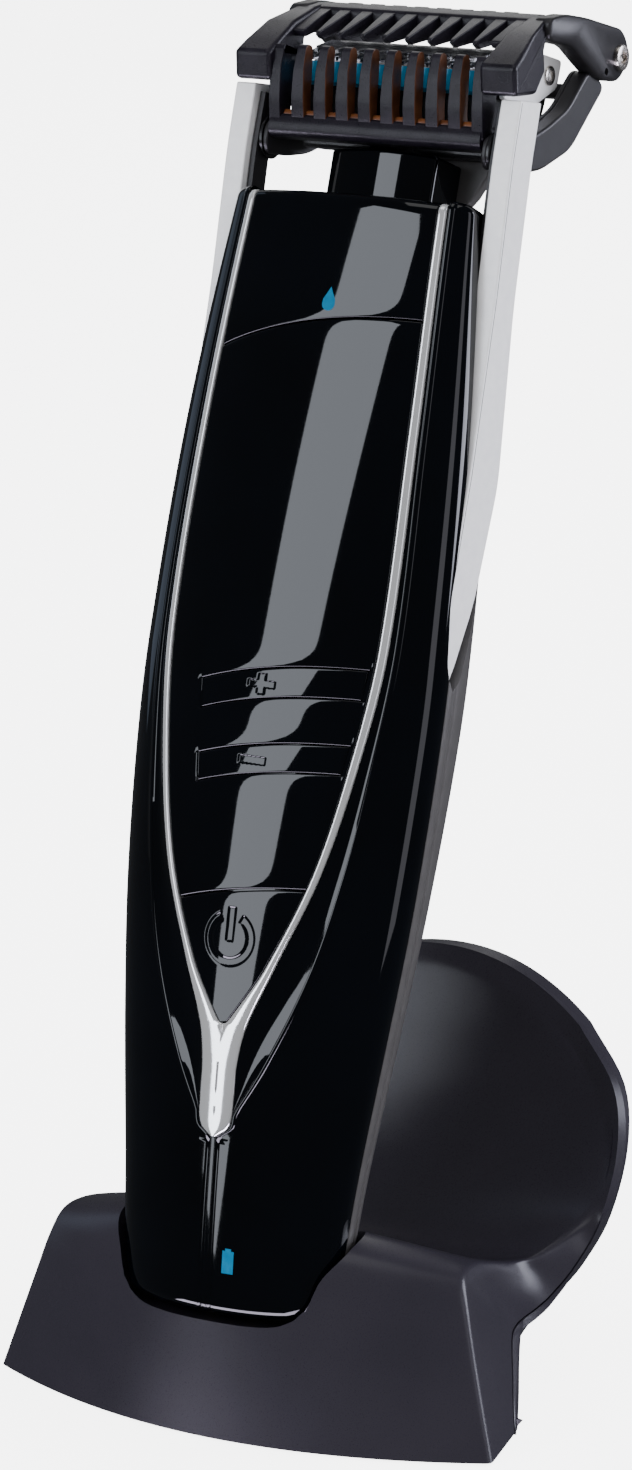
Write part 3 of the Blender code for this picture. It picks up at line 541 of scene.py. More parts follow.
def front_side(w):
    """(x, d) points of the front's right half, from the split over side and bead to the middle."""
    inset = end_inset(w)
    half = half_width(w, inset)
    wide = widest(w)
    points = [(side_x(d, w, inset), d) for d in steps(smooth(SPLIT_DEPTH, w), wide, 7)]
    bead = min(bead_half(w), half - 1.2)
    trim = min(trim_half(w) + TRIM_PLAY, bead - BEAD_WIDE - 0.02)
    for turn in steps(0, acos((bead + BEAD_WIDE) / half), 26)[1:]:
        points.append((half * cos(turn), wide - (wide - inset) * sin(turn)))
    high = BEAD_HIGH * min(1.0, max(-1.0, (w - BEAD_START) / 0.5))
    for t in steps(-1, 1, 9)[1:]:
        x = bead - BEAD_WIDE * t
        points.append((x, crest(x, w, inset) - high * sqrt(1 - t * t)))
    start = bead - BEAD_WIDE
    for t in steps(0, 1, 9)[1:]:
        x = start + (trim - start) * t
        points.append((x, crest(x, w, inset) + VALLEY_DEEP * min(1.0, (start - trim) / 2) * sin(pi * t)))
    floor = POCKET_DEEP if w >= TRIM_TIP - 0.15 else 0.0
    points += [(x, crest(x, w, inset) + floor) for x in (trim - 0.01, trim * 0.5, 0.0)]
    return points


def arm_room(spare):
    middle = (ARM_OUTLINE[0][0] + ARM_OUTLINE[-1][0]) / 2
    grown = [(h + (spare + 0.4 if h > middle + 1.5 else -spare), u - (spare if u < -60 else 0))
             for h, u in ARM_OUTLINE]
    grown[0] = (grown[0][0], 30)
    grown[-1] = (grown[-1][0], 30)
    return grown


def arm_channels(look):
    outline = rounded(arm_room(ARM_PLAY), 1.5, 3)
    start = LINER_IN - ARM_PLAY
    return [prism(f"cut_channel_{side}", outline, side * start, side * 40, look) for side, _ in SIDES]


def spine_rows(spacing, breaks=()):
    """Places up the spine, closer together at the ends and at each break."""
    rows = set(steps(0, BODY_TOP, int(BODY_TOP / spacing)))
    for t in steps(0, END_ROUND, 8):
        rows |= {t, BODY_TOP - t}
    for place_at in breaks:
        rows |= {place_at + offset for offset in (-0.6, -0.3, -0.12, 0.0, 0.12, 0.3, 0.6, 1.0, 1.5, 2.0)}
    kept = []
    for w in sorted(rows):
        if not kept or w - kept[-1] > 0.04:
            kept.append(w)
    return kept


def mirrored_ring(side, w):
    """A ring at w from the (x, d) points of its right half, whose last point is in the middle."""
    return [on_handle(x, d, w) for x, d in side + [(-x, d) for x, d in reversed(side[:-1])]]


def build_front(looks):
    rings = [mirrored_ring(front_side(w), w) for w in spine_rows(1.1, (BEAD_START, TRIM_TIP))]
    front = loft("handle_front", rings, looks["gloss_black"])
    cut(front, arm_channels(looks["matte_charcoal"]))
    place(front, "handle", "gloss_black", "front_shell")


def rear_side(w):
    """(x, d) points of the rear's right half, from the split with its side groove to the middle."""
    inset = end_inset(w)
    wide = widest(w)
    split = smooth(SPLIT_DEPTH, w) + GAP
    rear = smooth(THICKNESS, w) - wide - inset
    points = [(side_x(split, w, inset) - 0.35, split),
              (side_x(split + 0.06, w, inset) - 0.12, split + 0.04)]
    for offset, deep in REAR_GROOVE:
        points.append((side_x(split + offset, w, inset) - deep, split + offset))
    last = max(0.0, (split + REAR_GROOVE[-1][0] - wide) / rear)
    first = asin(min(1.0, last ** (REAR_POWER / 2)))
    for turn in steps(first, pi / 2, 26)[1:]:
        points.append((side_x(wide, w, inset) * max(0.0, cos(turn)) ** (2 / REAR_POWER),
                       wide + rear * sin(turn) ** (2 / REAR_POWER)))
    return points


def screw(node, seat, axis, radius, high, looks, body):
    """A screw head with a six-lobed recess."""
    profile = [(0, radius), (high * 0.6, radius), (high * 0.9, radius * 0.95), (high, radius * 0.86),
               (high, radius * 0.5), (high - 0.5, radius * 0.44), (high - 0.55, radius * 0.1)]
    head = turned(f"{node}_head", seat, axis, profile, looks["screw_steel"], star=4)
    place(head, body, "ground_steel", node)


def build_rear(looks):
    rings = [mirrored_ring(rear_side(w), w) for w in spine_rows(1.6)]
    # The rear shell wears the lightened charcoal: painted light on its sides.
    rear = loft("handle_rear", rings, looks["charcoal_painted_lit"])
    cutters = arm_channels(looks["matte_charcoal"])
    well = [(0, 3.4), (1.6, 2.9), (3.0, 2.6)]
    for name, w in (("lower", 30), ("upper", 118)):
        back = smooth(THICKNESS, w)
        axis = -Vector((0, cos(lean_at(w)), -sin(lean_at(w))))
        cutters.append(turned(f"cut_screw_{name}", on_handle(0, back + 2, w), axis, well,
                              looks["matte_charcoal"]))
        screw(f"case_screw_{name}", on_handle(0, back - 0.8, w), -axis, 2.2, 0.7, looks, "handle")
    cut(rear, cutters)
    place(rear, "handle", "matte_charcoal", "rear_shell")


# ---------------------------------------------------------------- panel

def swept(x, w):
    return SWEEP[0] * x + SWEEP[1] * x ** 2 + SWEEP[2] * x ** 3


def brow_bend(x, w):
    return swept(x, w) * (TRIM_TOP - w) / (TRIM_TOP - CAP_SEAM)


def edge_at(side, w, bend):
    x = side(w)
    for _ in range(8):
        x = side(w + bend(x, w))
    return x


def dip(distance, deep, reach):
    """A face's fall towards a seam at a distance from it."""
    return deep * exp(-distance / reach)


def lip(distance, radius=0.22):
    """How far a rounded edge falls away at a distance from its end."""
    if distance >= radius:
        return 0.0
    return radius - sqrt(max(0.0, radius ** 2 - (radius - max(0.0, distance)) ** 2))


def crowd(start, end, spacing, near=(0.0, 0.05, 0.11, 0.2, 0.34, 0.6, 1.0)):
    """Places from start to end, close together at both ends."""
    span = end - start
    sign = 1 if span > 0 else -1
    ends = [offset for offset in near if offset < abs(span) * 0.4]
    inner = steps(ends[-1], abs(span) - ends[-1], max(3, int(abs(span) / spacing)))
    places = ends[:-1] + inner + [abs(span) - offset for offset in reversed(ends[:-1])]
    return [start + sign * place_at for place_at in places]


def plate(name, rows, across, bend, relief, look, hole=None):
    """A plate over the handle's front, with a row of places across(w) at each w.

    relief(x, v) is the depth added to its face, and hole(row, column) leaves cells out.
    """
    wide = len(across(rows[0]))
    points = [(x, w + bend(x, w)) for w in rows for x in across(w)]
    faces = []
    for row in range(len(rows) - 1):
        for column in range(wide - 1):
            if not (hole and hole(row, column)):
                a = row * wide + column
                faces.append((a, a + 1, a + wide + 1, a + wide))
    count = len(points)
    held = {(a, b) for face in faces for a, b in zip(face, face[1:] + face[:1])}
    walls = [(b, a, a + count, b + count) for a, b in sorted(held) if (b, a) not in held]
    back = [tuple(index + count for index in reversed(face)) for face in faces]
    tops = [on_handle(x, crest(x, v) + relief(x, v), v) for x, v in points]
    under = [on_handle(x, crest(x, v) + PANEL_THICK, v) for x, v in points]
    made = solid(name, tops + under, faces + back + walls, look, sharp=50)
    with edited(made.data) as edit:
        loose = [vertex for vertex in edit.verts if not vertex.link_faces]
        bmesh.ops.delete(edit, geom=loose, context="VERTS")
    return made


def panel_right(w):
    return smooth(PANEL_HALF, w) - TRIM_PLAY


def panel_left(w):
    return -panel_right(w)


def key_left(w):
    return smooth(KEY_LEFT, w)


def key_right(w):
    return smooth(PANEL_HALF, w) - KEY_SIDE_WALL


def near_key(x, v, span):
    """The panel's fall towards a key: strong above it, slight below it, with a rounded edge."""
    fall = 0.0
    w = v - swept(x, v)
    inside = key_left(w) - 0.4 < x < key_right(w) + 0.4
    if inside and w >= span[1]:
        fall = dip(w - span[1], 0.2, 0.75) + lip(w - span[1], SEAM_EDGE)
    elif inside and w <= span[0]:
        fall = dip(span[0] - w, 0.09, 0.6) + lip(span[0] - w, SEAM_EDGE)
    elif span[0] < w < span[1]:
        fall = lip(key_left(w) - x, SEAM_EDGE) if x < 0 else 0.0
    return fall


def face_relief(x, v):
    w = v - swept(x, v)
    depth = lip(panel_right(v) - abs(x)) + near_key(x, v, PLUS_SPAN) + near_key(x, v, MINUS_SPAN)
    depth += dip(w - POWER_SEAM, 0.16, 0.7) + lip(w - POWER_SEAM - SLIT, SEAM_EDGE)
    return depth + dip(CAP_SEAM - w, 0.08, 0.6) + lip(CAP_SEAM - SLIT - w, SEAM_EDGE)


def brow_relief(x, v):
    rise = swept(x, v) / (TRIM_TOP - CAP_SEAM)
    w = (v - rise * TRIM_TOP) / (1 - rise)
    depth = lip(panel_right(v) - abs(x)) + dip(w - CAP_SEAM, 0.2, 0.8) + lip(w - CAP_SEAM - SLIT, SEAM_EDGE)
    return depth + end_inset(v + BODY_TOP - TRIM_TOP)


def band(value, half, soft=SIGN_EDGE):
    """1 inside a band, falling to 0 over its soft edge."""
    return min(1.0, max(0.0, (half - abs(value)) / soft + 0.5))


def power_relief(x, v):
    w = v - swept(x, v)
    depth = lip(panel_right(v) - abs(x)) + dip(POWER_SEAM - w, 0.08, 0.6)
    depth += lip(POWER_SEAM - SLIT - w, SEAM_EDGE)
    across, along = x - POWER_CENTRE[0], v - POWER_CENTRE[1]
    reach = hypot(across, along)
    ring = band(reach - 3.35, 0.58, 0.3)
    if abs(atan2(across, along)) < 0.5:
        ring = 0.0
    bar = band(across, 0.55, 0.2) * band(along - 2.0, 2.4, 0.2)
    return depth + 0.16 * max(ring, bar)


def plus_relief(x, v):
    across, along = x - PLUS_CENTRE[0], v - PLUS_CENTRE[1]
    arms = max(band(across, 2.2) * band(along, 0.5), band(across, 0.6) * band(along, 1.45))
    return 0.12 * arms + key_lip(x, v, PLUS_SPAN)


def minus_relief(x, v):
    across, along = x - MINUS_CENTRE[0], v - MINUS_CENTRE[1]
    return 0.12 * band(across, 2.15) * band(along, 0.55) + key_lip(x, v, MINUS_SPAN)


def key_lip(x, v, span):
    w = v - swept(x, v)
    nearest = min(w - span[0] - SLIT, span[1] - SLIT - w, x - key_left(w) - SLIT, key_right(w) - SLIT - x)
    middle = (w - sum(span) / 2) / (span[1] - span[0])
    return lip(nearest, 0.18) + 0.16 * middle * middle


def shares(places):
    """All but the last place, as shares of the way to it from the first."""
    return [(at - places[0]) / (places[-1] - places[0]) for at in places[:-1]]


def spread(start, end, parts):
    return [start + (end - start) * part for part in parts]


def row_maker(left, right, bend, parts, gap=0.0):
    """A function that gives a plate's places across at w, between two edges."""
    return lambda w: spread(edge_at(left, w, bend) + gap, edge_at(right, w, bend) - gap, parts)


def build_face(gloss):
    """The panel between the power seam and the cap seam, with a hole for each key."""
    stops = [POWER_SEAM + SLIT, *MINUS_SPAN, *PLUS_SPAN, CAP_SEAM - SLIT]
    rows = [w for low, high in zip(stops, stops[1:]) for w in crowd(low, high, 0.75)[:-1]] + stops[-1:]

    def edges(w):
        return [edge_at(side, w, swept) for side in (panel_left, key_left, key_right, panel_right)]

    left, key_start, key_end, _ = edges(COLUMNS_AT)
    outside = shares(crowd(left, key_start, 0.8))
    inside = shares(crowd(key_start, key_end, 0.7))

    def across(w):
        left, key_start, key_end, right = edges(w)
        places = spread(left, key_start, outside) + spread(key_start, key_end, inside)
        return places + steps(key_end, right, 7)

    def hole(row, column):
        middle = (rows[row] + rows[row + 1]) / 2
        in_span = any(low < middle < high for low, high in (PLUS_SPAN, MINUS_SPAN))
        return in_span and 0 <= column - len(outside) < len(inside)

    face = plate("panel_face", rows, across, swept, face_relief, gloss, hole)
    place(face, "handle", "gloss_black", "face_panel")


def build_keys(gloss):
    fine = steps(0, 1, 151)
    for name, span, relief in (("plus", PLUS_SPAN, plus_relief), ("minus", MINUS_SPAN, minus_relief)):
        rows = crowd(span[0] + SLIT, span[1] - SLIT, 0.12, (0.0, 0.04, 0.09, 0.16))
        across = row_maker(key_left, key_right, swept, fine, SLIT)
        key = plate(f"key_{name}", rows, across, swept, relief, gloss)
        place(key, f"{name}_key", "gloss_black", f"{name}_button")


def build_brow(gloss):
    """The short panel above the cap seam."""
    parts = crowd(0, 1, 0.025, (0.0, 0.002, 0.0045, 0.0075, 0.015, 0.025))
    across = row_maker(panel_left, panel_right, brow_bend, parts)
    brow = plate("panel_brow", crowd(CAP_SEAM + SLIT, TRIM_TOP, 0.7), across, brow_bend, brow_relief, gloss)
    place(brow, "handle", "gloss_black", "brow_panel")


def build_power(gloss):
    across = row_maker(panel_left, panel_right, swept, steps(0, 1, 121))
    rows = crowd(PANEL_TIP + 0.35, POWER_SEAM - SLIT, 0.14)
    button = plate("key_power", rows, across, swept, power_relief, gloss)
    place(button, "power_key", "gloss_black", "power_button")


def trim_depth(across, outer, inner):
    """The chrome's domed face at a place between its outer and inner edges."""
    q = 2 * (across - inner) / (outer - inner) - 1
    return 0.06 - 0.34 * max(0.0, 1 - abs(q) ** 3) ** 0.6


def build_trim(looks):
    """The chrome surround: two legs that join in a tail below the panel's tip."""
    rows = crowd(TRIM_TIP, TRIM_TOP, 0.8, (0.0, 0.02, 0.06, 0.14, 0.3, 0.5, 0.8, 1.2))
    rows = sorted(set(rows) | set(steps(PANEL_TIP - 1, PANEL_TIP + 1.5, 9)))
    points, faces = [], []
    for side in (1, -1):
        start = len(points)
        for w in rows:
            outer = trim_half(w)
            inner = max(0.0, smooth(PANEL_HALF, w) - 0.02) if w > PANEL_TIP else 0.0
            dome_start = inner if w > PANEL_TIP else max(-outer, (w - PANEL_TIP) * 0.5)
            drop = end_inset(w + BODY_TOP - TRIM_TOP) if w > 100 else 0.0
            line = [(x, trim_depth(x, outer, dome_start) + drop) for x in steps(inner, outer, 14)]
            line += [(outer, TRIM_THICK), (inner, TRIM_THICK)]
            points += [on_handle(side * x, crest(x, w) + depth, w) for x, depth in line]
        ring = len(line)
        for row in range(len(rows) - 1):
            a, b = start + row * ring, start + (row + 1) * ring
            faces += [(a + i, a + (i + 1) % ring, b + (i + 1) % ring, b + i) for i in range(ring)]
        last = start + (len(rows) - 1) * ring
        faces += [tuple(range(start, start + ring)), tuple(range(last, last + ring))]
    trim = solid("chrome_surround", points, faces, looks["chrome"], sharp=60)
    with edited(trim.data) as edit:
        bmesh.ops.remove_doubles(edit, verts=edit.verts, dist=0.00001)
        bmesh.ops.recalc_face_normals(edit, faces=edit.faces)
    shade(trim.data, 60)
    place(trim, "handle", "chrome", "chrome_trim")


def build_drop(looks):
    """The waterdrop sign above the cap seam, printed flush with the brow."""
    middle_x, middle_w = DROP_CENTRE
    outline = [(0.0, 1.9), (0.45, 1.0), (0.95, 0.1)]
    outline += [(cos(turn), -0.55 + sin(turn)) for turn in steps(0.25, -pi - 0.25, 17)]
    outline += [(-0.95, 0.1), (-0.45, 1.0)]
    outline = [(middle_x + x, middle_w + w) for x, w in outline]
    rings = [[on_handle(x, crest(x, w) + deep + brow_relief(x, w), w) for x, w in outline]
             for deep in (-0.02, 0.3)]
    place(loft("drop_sign", rings, looks["cyan_print"]), "handle", "cyan_print")


def build_lamp(looks):
    """The battery-shaped lamp window."""
    left, right = LAMP_SIDES
    low, high = LAMP_SPAN
    shoulder = high - 0.35
    start, end = (left + right) / 2 - 0.45, (left + right) / 2 + 0.45
    outline = [(left, low), (right, low), (right, shoulder), (end, shoulder), (end, high), (start, high),
               (start, shoulder), (left, shoulder)]
    rings = [[on_handle(x, crest(x, w) + deep, w) for x, w in outline] for deep in (-0.03, 1.0)]
    lamp = loft("lamp_window", rings, looks["cyan_print"])
    place(lamp, "handle", "cyan_print", "charge_lamp")


# ---------------------------------------------------------------- stand

def row_points(row, columns):
    (mid_y, mid_z), edge, _ = row
    return [Vector((edge[0] * s, mid_y + (edge[1] - mid_y) * s * s, mid_z + (edge[2] - mid_z) * s * s))
            for s in steps(-1, 1, columns)]


def spread_rows(rows, per_row):
    """The same rows with more between them, along a smooth curve through their values."""
    flat = [(*row[0], *row[1], *row[2]) for row in rows]
    curves = [[(index, values[axis]) for index, values in enumerate(flat)] for axis in range(8)]
    fuller = []
    for at in steps(0, len(rows) - 1, (len(rows) - 1) * per_row + 1):
        v = [smooth(curve, at) for curve in curves]
        fuller.append(((v[0], v[1]), tuple(v[2:5]), tuple(v[5:8])))
    return fuller


def parting_line(rows, columns):
    right = [Vector(row[2]) for row in rows]
    corner = rows[-1][2]
    top = [Vector((corner[0] * s, TOP_LIP[0] + (corner[1] - TOP_LIP[0]) * s * s,
                   TOP_LIP[1] + (corner[2] - TOP_LIP[1]) * s * s)) for s in steps(1, -1, columns)[1:-1]]
    return right + top + [Vector((-p.x, p.y, p.z)) for p in reversed(right)]


def stand_skin(per_row, columns, strip, fillet=0.9):
    """The front skin. The crease between its face and its side strip is rounded by a fillet."""
    rows = spread_rows(STAND_ROWS, per_row)
    grid = [row_points(row, columns) for row in rows]
    ring = [(r, columns - 1) for r in range(len(rows))]
    ring += [(len(rows) - 1, c) for c in reversed(range(columns - 1))]
    ring += [(r, 0) for r in reversed(range(len(rows) - 1))]
    parting = parting_line(rows, columns)
    crease = [grid[r][c].copy() for r, c in ring]
    loops = []
    for index, ((r, c), corner, end) in enumerate(zip(ring, crease, parting)):
        inward = Vector((0, 0, 0))
        if c in (0, columns - 1):
            inward += grid[r][c + (1 if c == 0 else -1)] - corner
        if r == len(rows) - 1:
            inward += grid[r - 1][c] - corner
        inward.normalize()
        out = end - corner
        reach = min(fillet, out.length * 0.45)
        first, last = corner + inward * reach, corner + out.normalized() * reach
        loops.append(bent(first, corner, last, 5) + [last.lerp(end, t) for t in steps(0, 1, strip + 1)[1:]])
    for (r, c), loop in zip(ring, loops):
        grid[r][c] = loop[0]
    points = [point for row in grid for point in row]
    faces = [(r * columns + c, r * columns + c + 1, (r + 1) * columns + c + 1, (r + 1) * columns + c)
             for r in range(len(rows) - 1) for c in range(columns - 1)]
    ids = [r * columns + c for r, c in ring]
    for layer in range(1, len(loops[0])):
        outer = list(range(len(points), len(points) + len(ring)))
        points += [loop[layer] for loop in loops]
        faces += [(ids[i], outer[i], outer[i + 1], ids[i + 1]) for i in range(len(ring) - 1)]
        ids = outer
    return points, faces


def handle_ring(w, inset, across=96):
    """Cross-section of the handle at w, grown by a negative inset."""
    half = half_width(w, inset)
    wide = widest(w)
    front = wide - inset
    rear = smooth(THICKNESS, w) - wide - inset
    ring = []
    for index in range(across):
        turn = 2 * pi * (index + 0.5) / across
        power = REAR_POWER if sin(turn) > 0 else 2.0
        x = half * abs(cos(turn)) ** (2 / power) * (1 if cos(turn) > 0 else -1)
        depth = abs(sin(turn)) ** (2 / power)
        ring.append(on_handle(x, wide + (rear if sin(turn) > 0 else -front) * depth, w))
    return ring


def thicken(sheet, inside):
    """A wall behind an open sheet, on the side of an inner point."""
    face_outward(sheet, Vector(inside) * MM)
    change(sheet, "SOLIDIFY", thickness=STAND_WALL * MM, offset=-1.0, use_even_offset=False)
    bake(sheet)


def build_stand(looks):
    satin = looks["satin_stand_black"]
    points, faces = stand_skin(6, 61, 6)
    skin = solid("stand_front", points, faces, satin, sharp=50, open_sheet=True)
    thicken(skin, (0, 20, -40))
    dock = [handle_ring(0.8 - 2.1 * t, 1.1 - 2.1 * sqrt(max(0.0, 1 - t * t))) for t in steps(1, 0, 12)]
    dock += [handle_ring(w, -1.0) for w in steps(0.8, 60, 40)[1:]]
    cut(skin, [loft("cut_dock", dock, satin)])
    place(skin, "stand", "satin_stand_black", "stand_front_shell")
    cup = loft("stand_cup", [handle_ring(w, -2.4) for w in steps(-3.0, 13, 8)], satin)
    volume = solid("cut_volume", points, faces, satin, open_sheet=True)
    with edited(volume.data) as edit:
        under = edit.verts.new(Vector((0, 66, 4)) * MM)
        for edge in [edge for edge in edit.edges if edge.is_boundary]:
            edit.faces.new((*edge.verts, under))
        face_out(edit)
    cut(cup, [volume], "INTERSECT")
    cut(cup, [loft("cut_cup", dock, satin)])
    change(cup, "DISPLACE", strength=-0.05 * MM, mid_level=0.0)
    bake(cup)
    place(cup, "stand", "satin_stand_black")
    build_stand_rear(looks)


def face_outward(sheet, inside):
    """An open sheet's faces are turned away from an inner point."""
    with edited(sheet.data) as edit:
        total = sum(face.normal.dot(face.calc_center_median() - inside) * face.calc_area()
                    for face in edit.faces)
        if total < 0:
            bmesh.ops.reverse_faces(edit, faces=edit.faces)


def heel(turn, wide, start):
    """The footprint behind the front corners, where it narrows towards the back."""
    side = 1 if cos(turn) > 0 else -1
    return (side * wide * abs(cos(turn)) ** 1.7, start + (BASE_BACK - start) * (1 - abs(cos(turn)) ** 2.8))


def build_stand_rear(looks):
    satin = looks["satin_stand_black"]
    line = parting_line(spread_rows(STAND_ROWS, 5), 41)
    count = len(line)
    rings = []
    for index, edge in enumerate(line):
        turn = pi * (0.03 + 0.94 * index / (count - 1))
        aside = 1 if edge.x > 0 else -1
        foot = Vector((*heel(turn, 37.6, 14.0), SHEET_FOOT))
        band_reach = min(1.0, max(0.12, edge.z / 16))
        second = edge + Vector((-aside * min(1.0, abs(edge.x) / 30) * 0.4, 5.0, -0.6)) * band_reach
        second.z = max(second.z, SHEET_FOOT)
        bulge = Vector((second.x * 0.4 + foot.x * 0.6, second.y + 2.0 - 3.0 * band_reach, second.z * 0.5))
        first = Vector((edge.x, edge.y + GAP, max(SHEET_FOOT, edge.z - GAP)))
        groove = first - Vector((aside * 0.25 * min(1.0, abs(edge.x) / 20), 0, 0.2 * min(1.0, edge.z / 30)))
        lead = [groove, *(first.lerp(second, t) for t in (0.03, 0.1, 0.5, 0.85))]
        curve = bent(second, bulge, foot, 26)
        turn_in = [first.lerp(second, 0.95) * 0.5 + curve[1] * 0.5]
        rings.append(lead + turn_in + curve[1:])
    rear = loft("stand_rear", rings, satin, closed=False, caps=False, sharp=60, open_sheet=True)
    thicken(rear, (0, 24, 10))
    for vertex in rear.data.vertices:
        vertex.co.z = max(vertex.co.z, 0.0)
    half, low, high = INLET
    wide = half + INLET_WALL
    sleeve = rounded(box_outline(-wide, wide, low - INLET_WALL, high + INLET_WALL), 1.2)
    bore = rounded(box_outline(-half, half, low, high), 1.0)
    inner, outer = 46.6, 53.0
    stages = ((sleeve, inner), (sleeve, outer), (bore, outer), (bore, inner), (sleeve, inner))
    rings = [[Vector((x, y, z)) for x, z in outline] for outline, y in stages]
    recess = loft("inlet_recess", rings, satin, caps=False)
    place(recess, "stand", "satin_stand_black")
    window = prism("cut_inlet", rounded(box_outline(36, 70, low, high), 1.0), -half, half, satin,
                   at=lambda x, y, z: Vector((x, y, z)))
    cut(rear, [window])
    place(rear, "stand", "satin_stand_black", "stand_rear_shell")


# ---------------------------------------------------------------- head

def slab(name, outline, start, end, look, edge, segments=2):
    """A prism of the head with rounded edges."""
    return soften(prism(name, outline, start, end, look), edge, segments)


def build_arms(looks):
    outline = [(-4.3, 6.9)] + rounded(ARM_OUTLINE, 3.0, 6)[7:-7] + [(1.8, 7.9)]
    front = ARM_OUTLINE[:5]
    strip = [(h + 0.34, u) for h, u in front] + [(h + 0.48, u) for h, u in reversed(front)]
    silver = looks["satin_silver"]
    for side, name in SIDES:
        arm = slab(f"arm_{name}_cover", outline, side * ARM_IN, side * ARM_OUT, silver, 0.3, 3)
        place(arm, "carriage", "satin_silver", f"arm_{name}")
        start, end = ARM_OUT - 0.3, ARM_OUT + 0.012
        line = prism(f"arm_{name}_line", strip, side * start, side * end, looks["matte_charcoal"])
        place(line, "carriage", "matte_charcoal")


def tapered(name, outline, middle, half_at, look, side_look, edge=0.22):
    """A tooth or fin of half thickness half_at(h, u), whose sideways faces wear side_look, on the teeth a
    painted glow of light shining through the smoked plastic.
    """
    rings = [[on_head(middle + share * half_at(h, u), h, u) for h, u in outline] for share in (-1, 1)]
    made = loft(name, rings, look)
    made.data.materials.append(side_look)
    for face in made.data.polygons:
        if abs(face.normal.x) > 0.8:
            face.material_index = 1
    return soften(made, edge, 3)


def within(value, low=0.0, high=1.0):
    return min(high, max(low, value))


def tooth_half(h, u):
    return 1.02 - 0.3 * within((u - 6) / 6)


def fin_half(h, u):
    return 0.3 + 0.85 * within((h + 1.6) / 8)


def comb_block(side, looks):
    """An end block: a body that narrows outward from its front corner to the crest."""
    outline = [((-7.0, 11.0), BLOCK_OUT), ((-5.4, 7.1), BLOCK_OUT), ((0.6, 8.8), BLOCK_OUT),
               ((2.9, 12.6), 22.6), ((2.6, 15.2), 22.0), ((5.4, 18.2), 20.6), ((9.0, 20.4), 19.2),
               ((8.2, 21.9), 19.2), ((4.6, 20.4), 20.6), ((-1.0, 16.9), 22.0), ((-5.0, 13.0), 22.7)]
    inner = [on_head(side * 17.0, h, u) for (h, u), _ in outline]
    outer = [on_head(side * reach, h, u) for (h, u), reach in outline]
    block = loft(f"comb_block_{side}", [inner, outer], looks["smoked_comb"])
    return soften(block, 0.7, 3, 25)


def build_comb(looks):
    smoke, painted_side_glow = looks["smoked_comb"], looks["comb_painted_glow"]
    bar = rounded([(-3.4, 0.3), (-3.7, 1.6), (-3.2, 2.9), (-2.2, 3.3), (0.5, 3.3), (0.9, 2.6), (0.9, 0.4),
                   (0.2, -0.2), (-2.6, -0.3)], 0.8, 4)
    ridge = rounded([(5.6, 18.3), (9.0, 19.3), (10.2, 20.6), (9.4, 21.7), (7.8, 21.9), (5.2, 20.4)], 0.7, 4)
    parts = [prism("comb_bar", bar, -COMB_HALF, COMB_HALF, smoke),
             prism("comb_ridge", ridge, -COMB_HALF - 0.5, COMB_HALF + 0.5, smoke)]
    rail = rounded([(-0.6, 14.7), (7.4, 18.8), (9.4, 21.0), (8.0, 21.9), (3.2, 18.9), (-1.4, 15.6)], 0.4, 3)
    post = rounded([(-3.0, 1.0), (-4.5, 5.0), (-5.4, 9.0), (-5.4, 12.2), (-4.6, 12.7), (-1.4, 12.7),
                    (-1.0, 9.6), (-0.6, 1.0)], 0.5, 3)
    ledge = rounded([(-5.2, 11.2), (-5.2, 12.6), (-1.0, 13.4), (-1.0, 12.0)], 0.3, 3)
    braces = (("frame", rail, 15.2, 18.2, 0.25), ("post", post, 15.6, 17.4, 0.3),
              ("ledge", ledge, 15.6, 19.0, 0.25))
    for side, _ in SIDES:
        parts.append(comb_block(side, looks))
        for name, outline, start, end, edge in braces:
            parts.append(slab(f"comb_{name}_{side}", outline, side * start, side * end, smoke, edge))
    tooth = rounded([(-3.2, 2.0), (-4.4, 5.0), (-5.3, 9.0), (-5.2, 12.3), (-4.6, 12.9), (-3.5, 12.9),
                     (-3.1, 12.0), (-2.7, 9.5), (-2.1, 5.0), (-0.9, 2.6)], 0.6, 3)
    fin = rounded([(-1.7, 14.9), (-0.2, 14.6), (4.0, 16.4), (9.0, 19.2), (9.4, 21.2), (8.0, 22.0),
                   (3.6, 19.0), (-1.4, 15.5)], 0.2, 2)
    root = rounded([(-3.0, 2.8), (-0.6, 2.8), (-0.6, 3.4), (-1.5, 3.5), (-1.8, 3.8), (-2.8, 3.7)], 0.25, 2)
    for index in range(TEETH):
        middle = TOOTH_PITCH * (index - (TEETH - 1) / 2)
        if 0 < index < TEETH - 1:
            # The teeth's sideways faces wear the painted glow of light shining through the smoked plastic.
            parts.append(tapered(f"comb_tooth_{index}", tooth, middle, tooth_half, smoke, painted_side_glow))
            parts.append(tapered(f"comb_fin_{index}", fin, middle, fin_half, smoke, smoke, 0.6))
        # At the bottom of each gap, a small block with the painted glow of light through the comb.
        if index < TEETH - 1:
            start = middle + TOOTH_PITCH / 2 - ROOT_HALF
            end = start + 2 * ROOT_HALF
            parts.append(slab(f"comb_root_painted_glow_{index}", root, start, end, looks["comb_root_painted_glow"], 0.15))
    place(joined("comb", parts), "cradle", "smoked_comb", "comb_guide")


def build_neck(looks):
    """The gloss block under the head, with a convex front, and the plate behind it."""
    front = [(x, -1.4 + 2.2 * (x / NECK_HALF) ** 2) for x in steps(-NECK_HALF, NECK_HALF, 25)]
    section = front + [(NECK_HALF, 8.6), (-NECK_HALF, 8.6)]
    rings = [[on_head(x, h, u) for x, h in section] for u in (-11, -0.9)]
    neck = loft("neck_block", rings, looks["gloss_black"])
    place(soften(neck, 0.5, 3), "handle", "gloss_black", "neck")
    half = [(13.2, 0.3), (12.9, -1.8), (11.3, -5.0), (8.4, -8.7)]
    outline = [(-x, u) for x, u in half] + half[::-1]
    rings = [[on_head(x, h, u) for x, u in outline] for h in (8.6, 10.6)]
    # The plate behind the neck wears the lightened charcoal: painted light where it sits in shade.
    back = loft("neck_back", rings, looks["charcoal_painted_lit"])
    place(soften(back, 0.4, 3), "handle", "matte_charcoal", "neck_rear_cover")


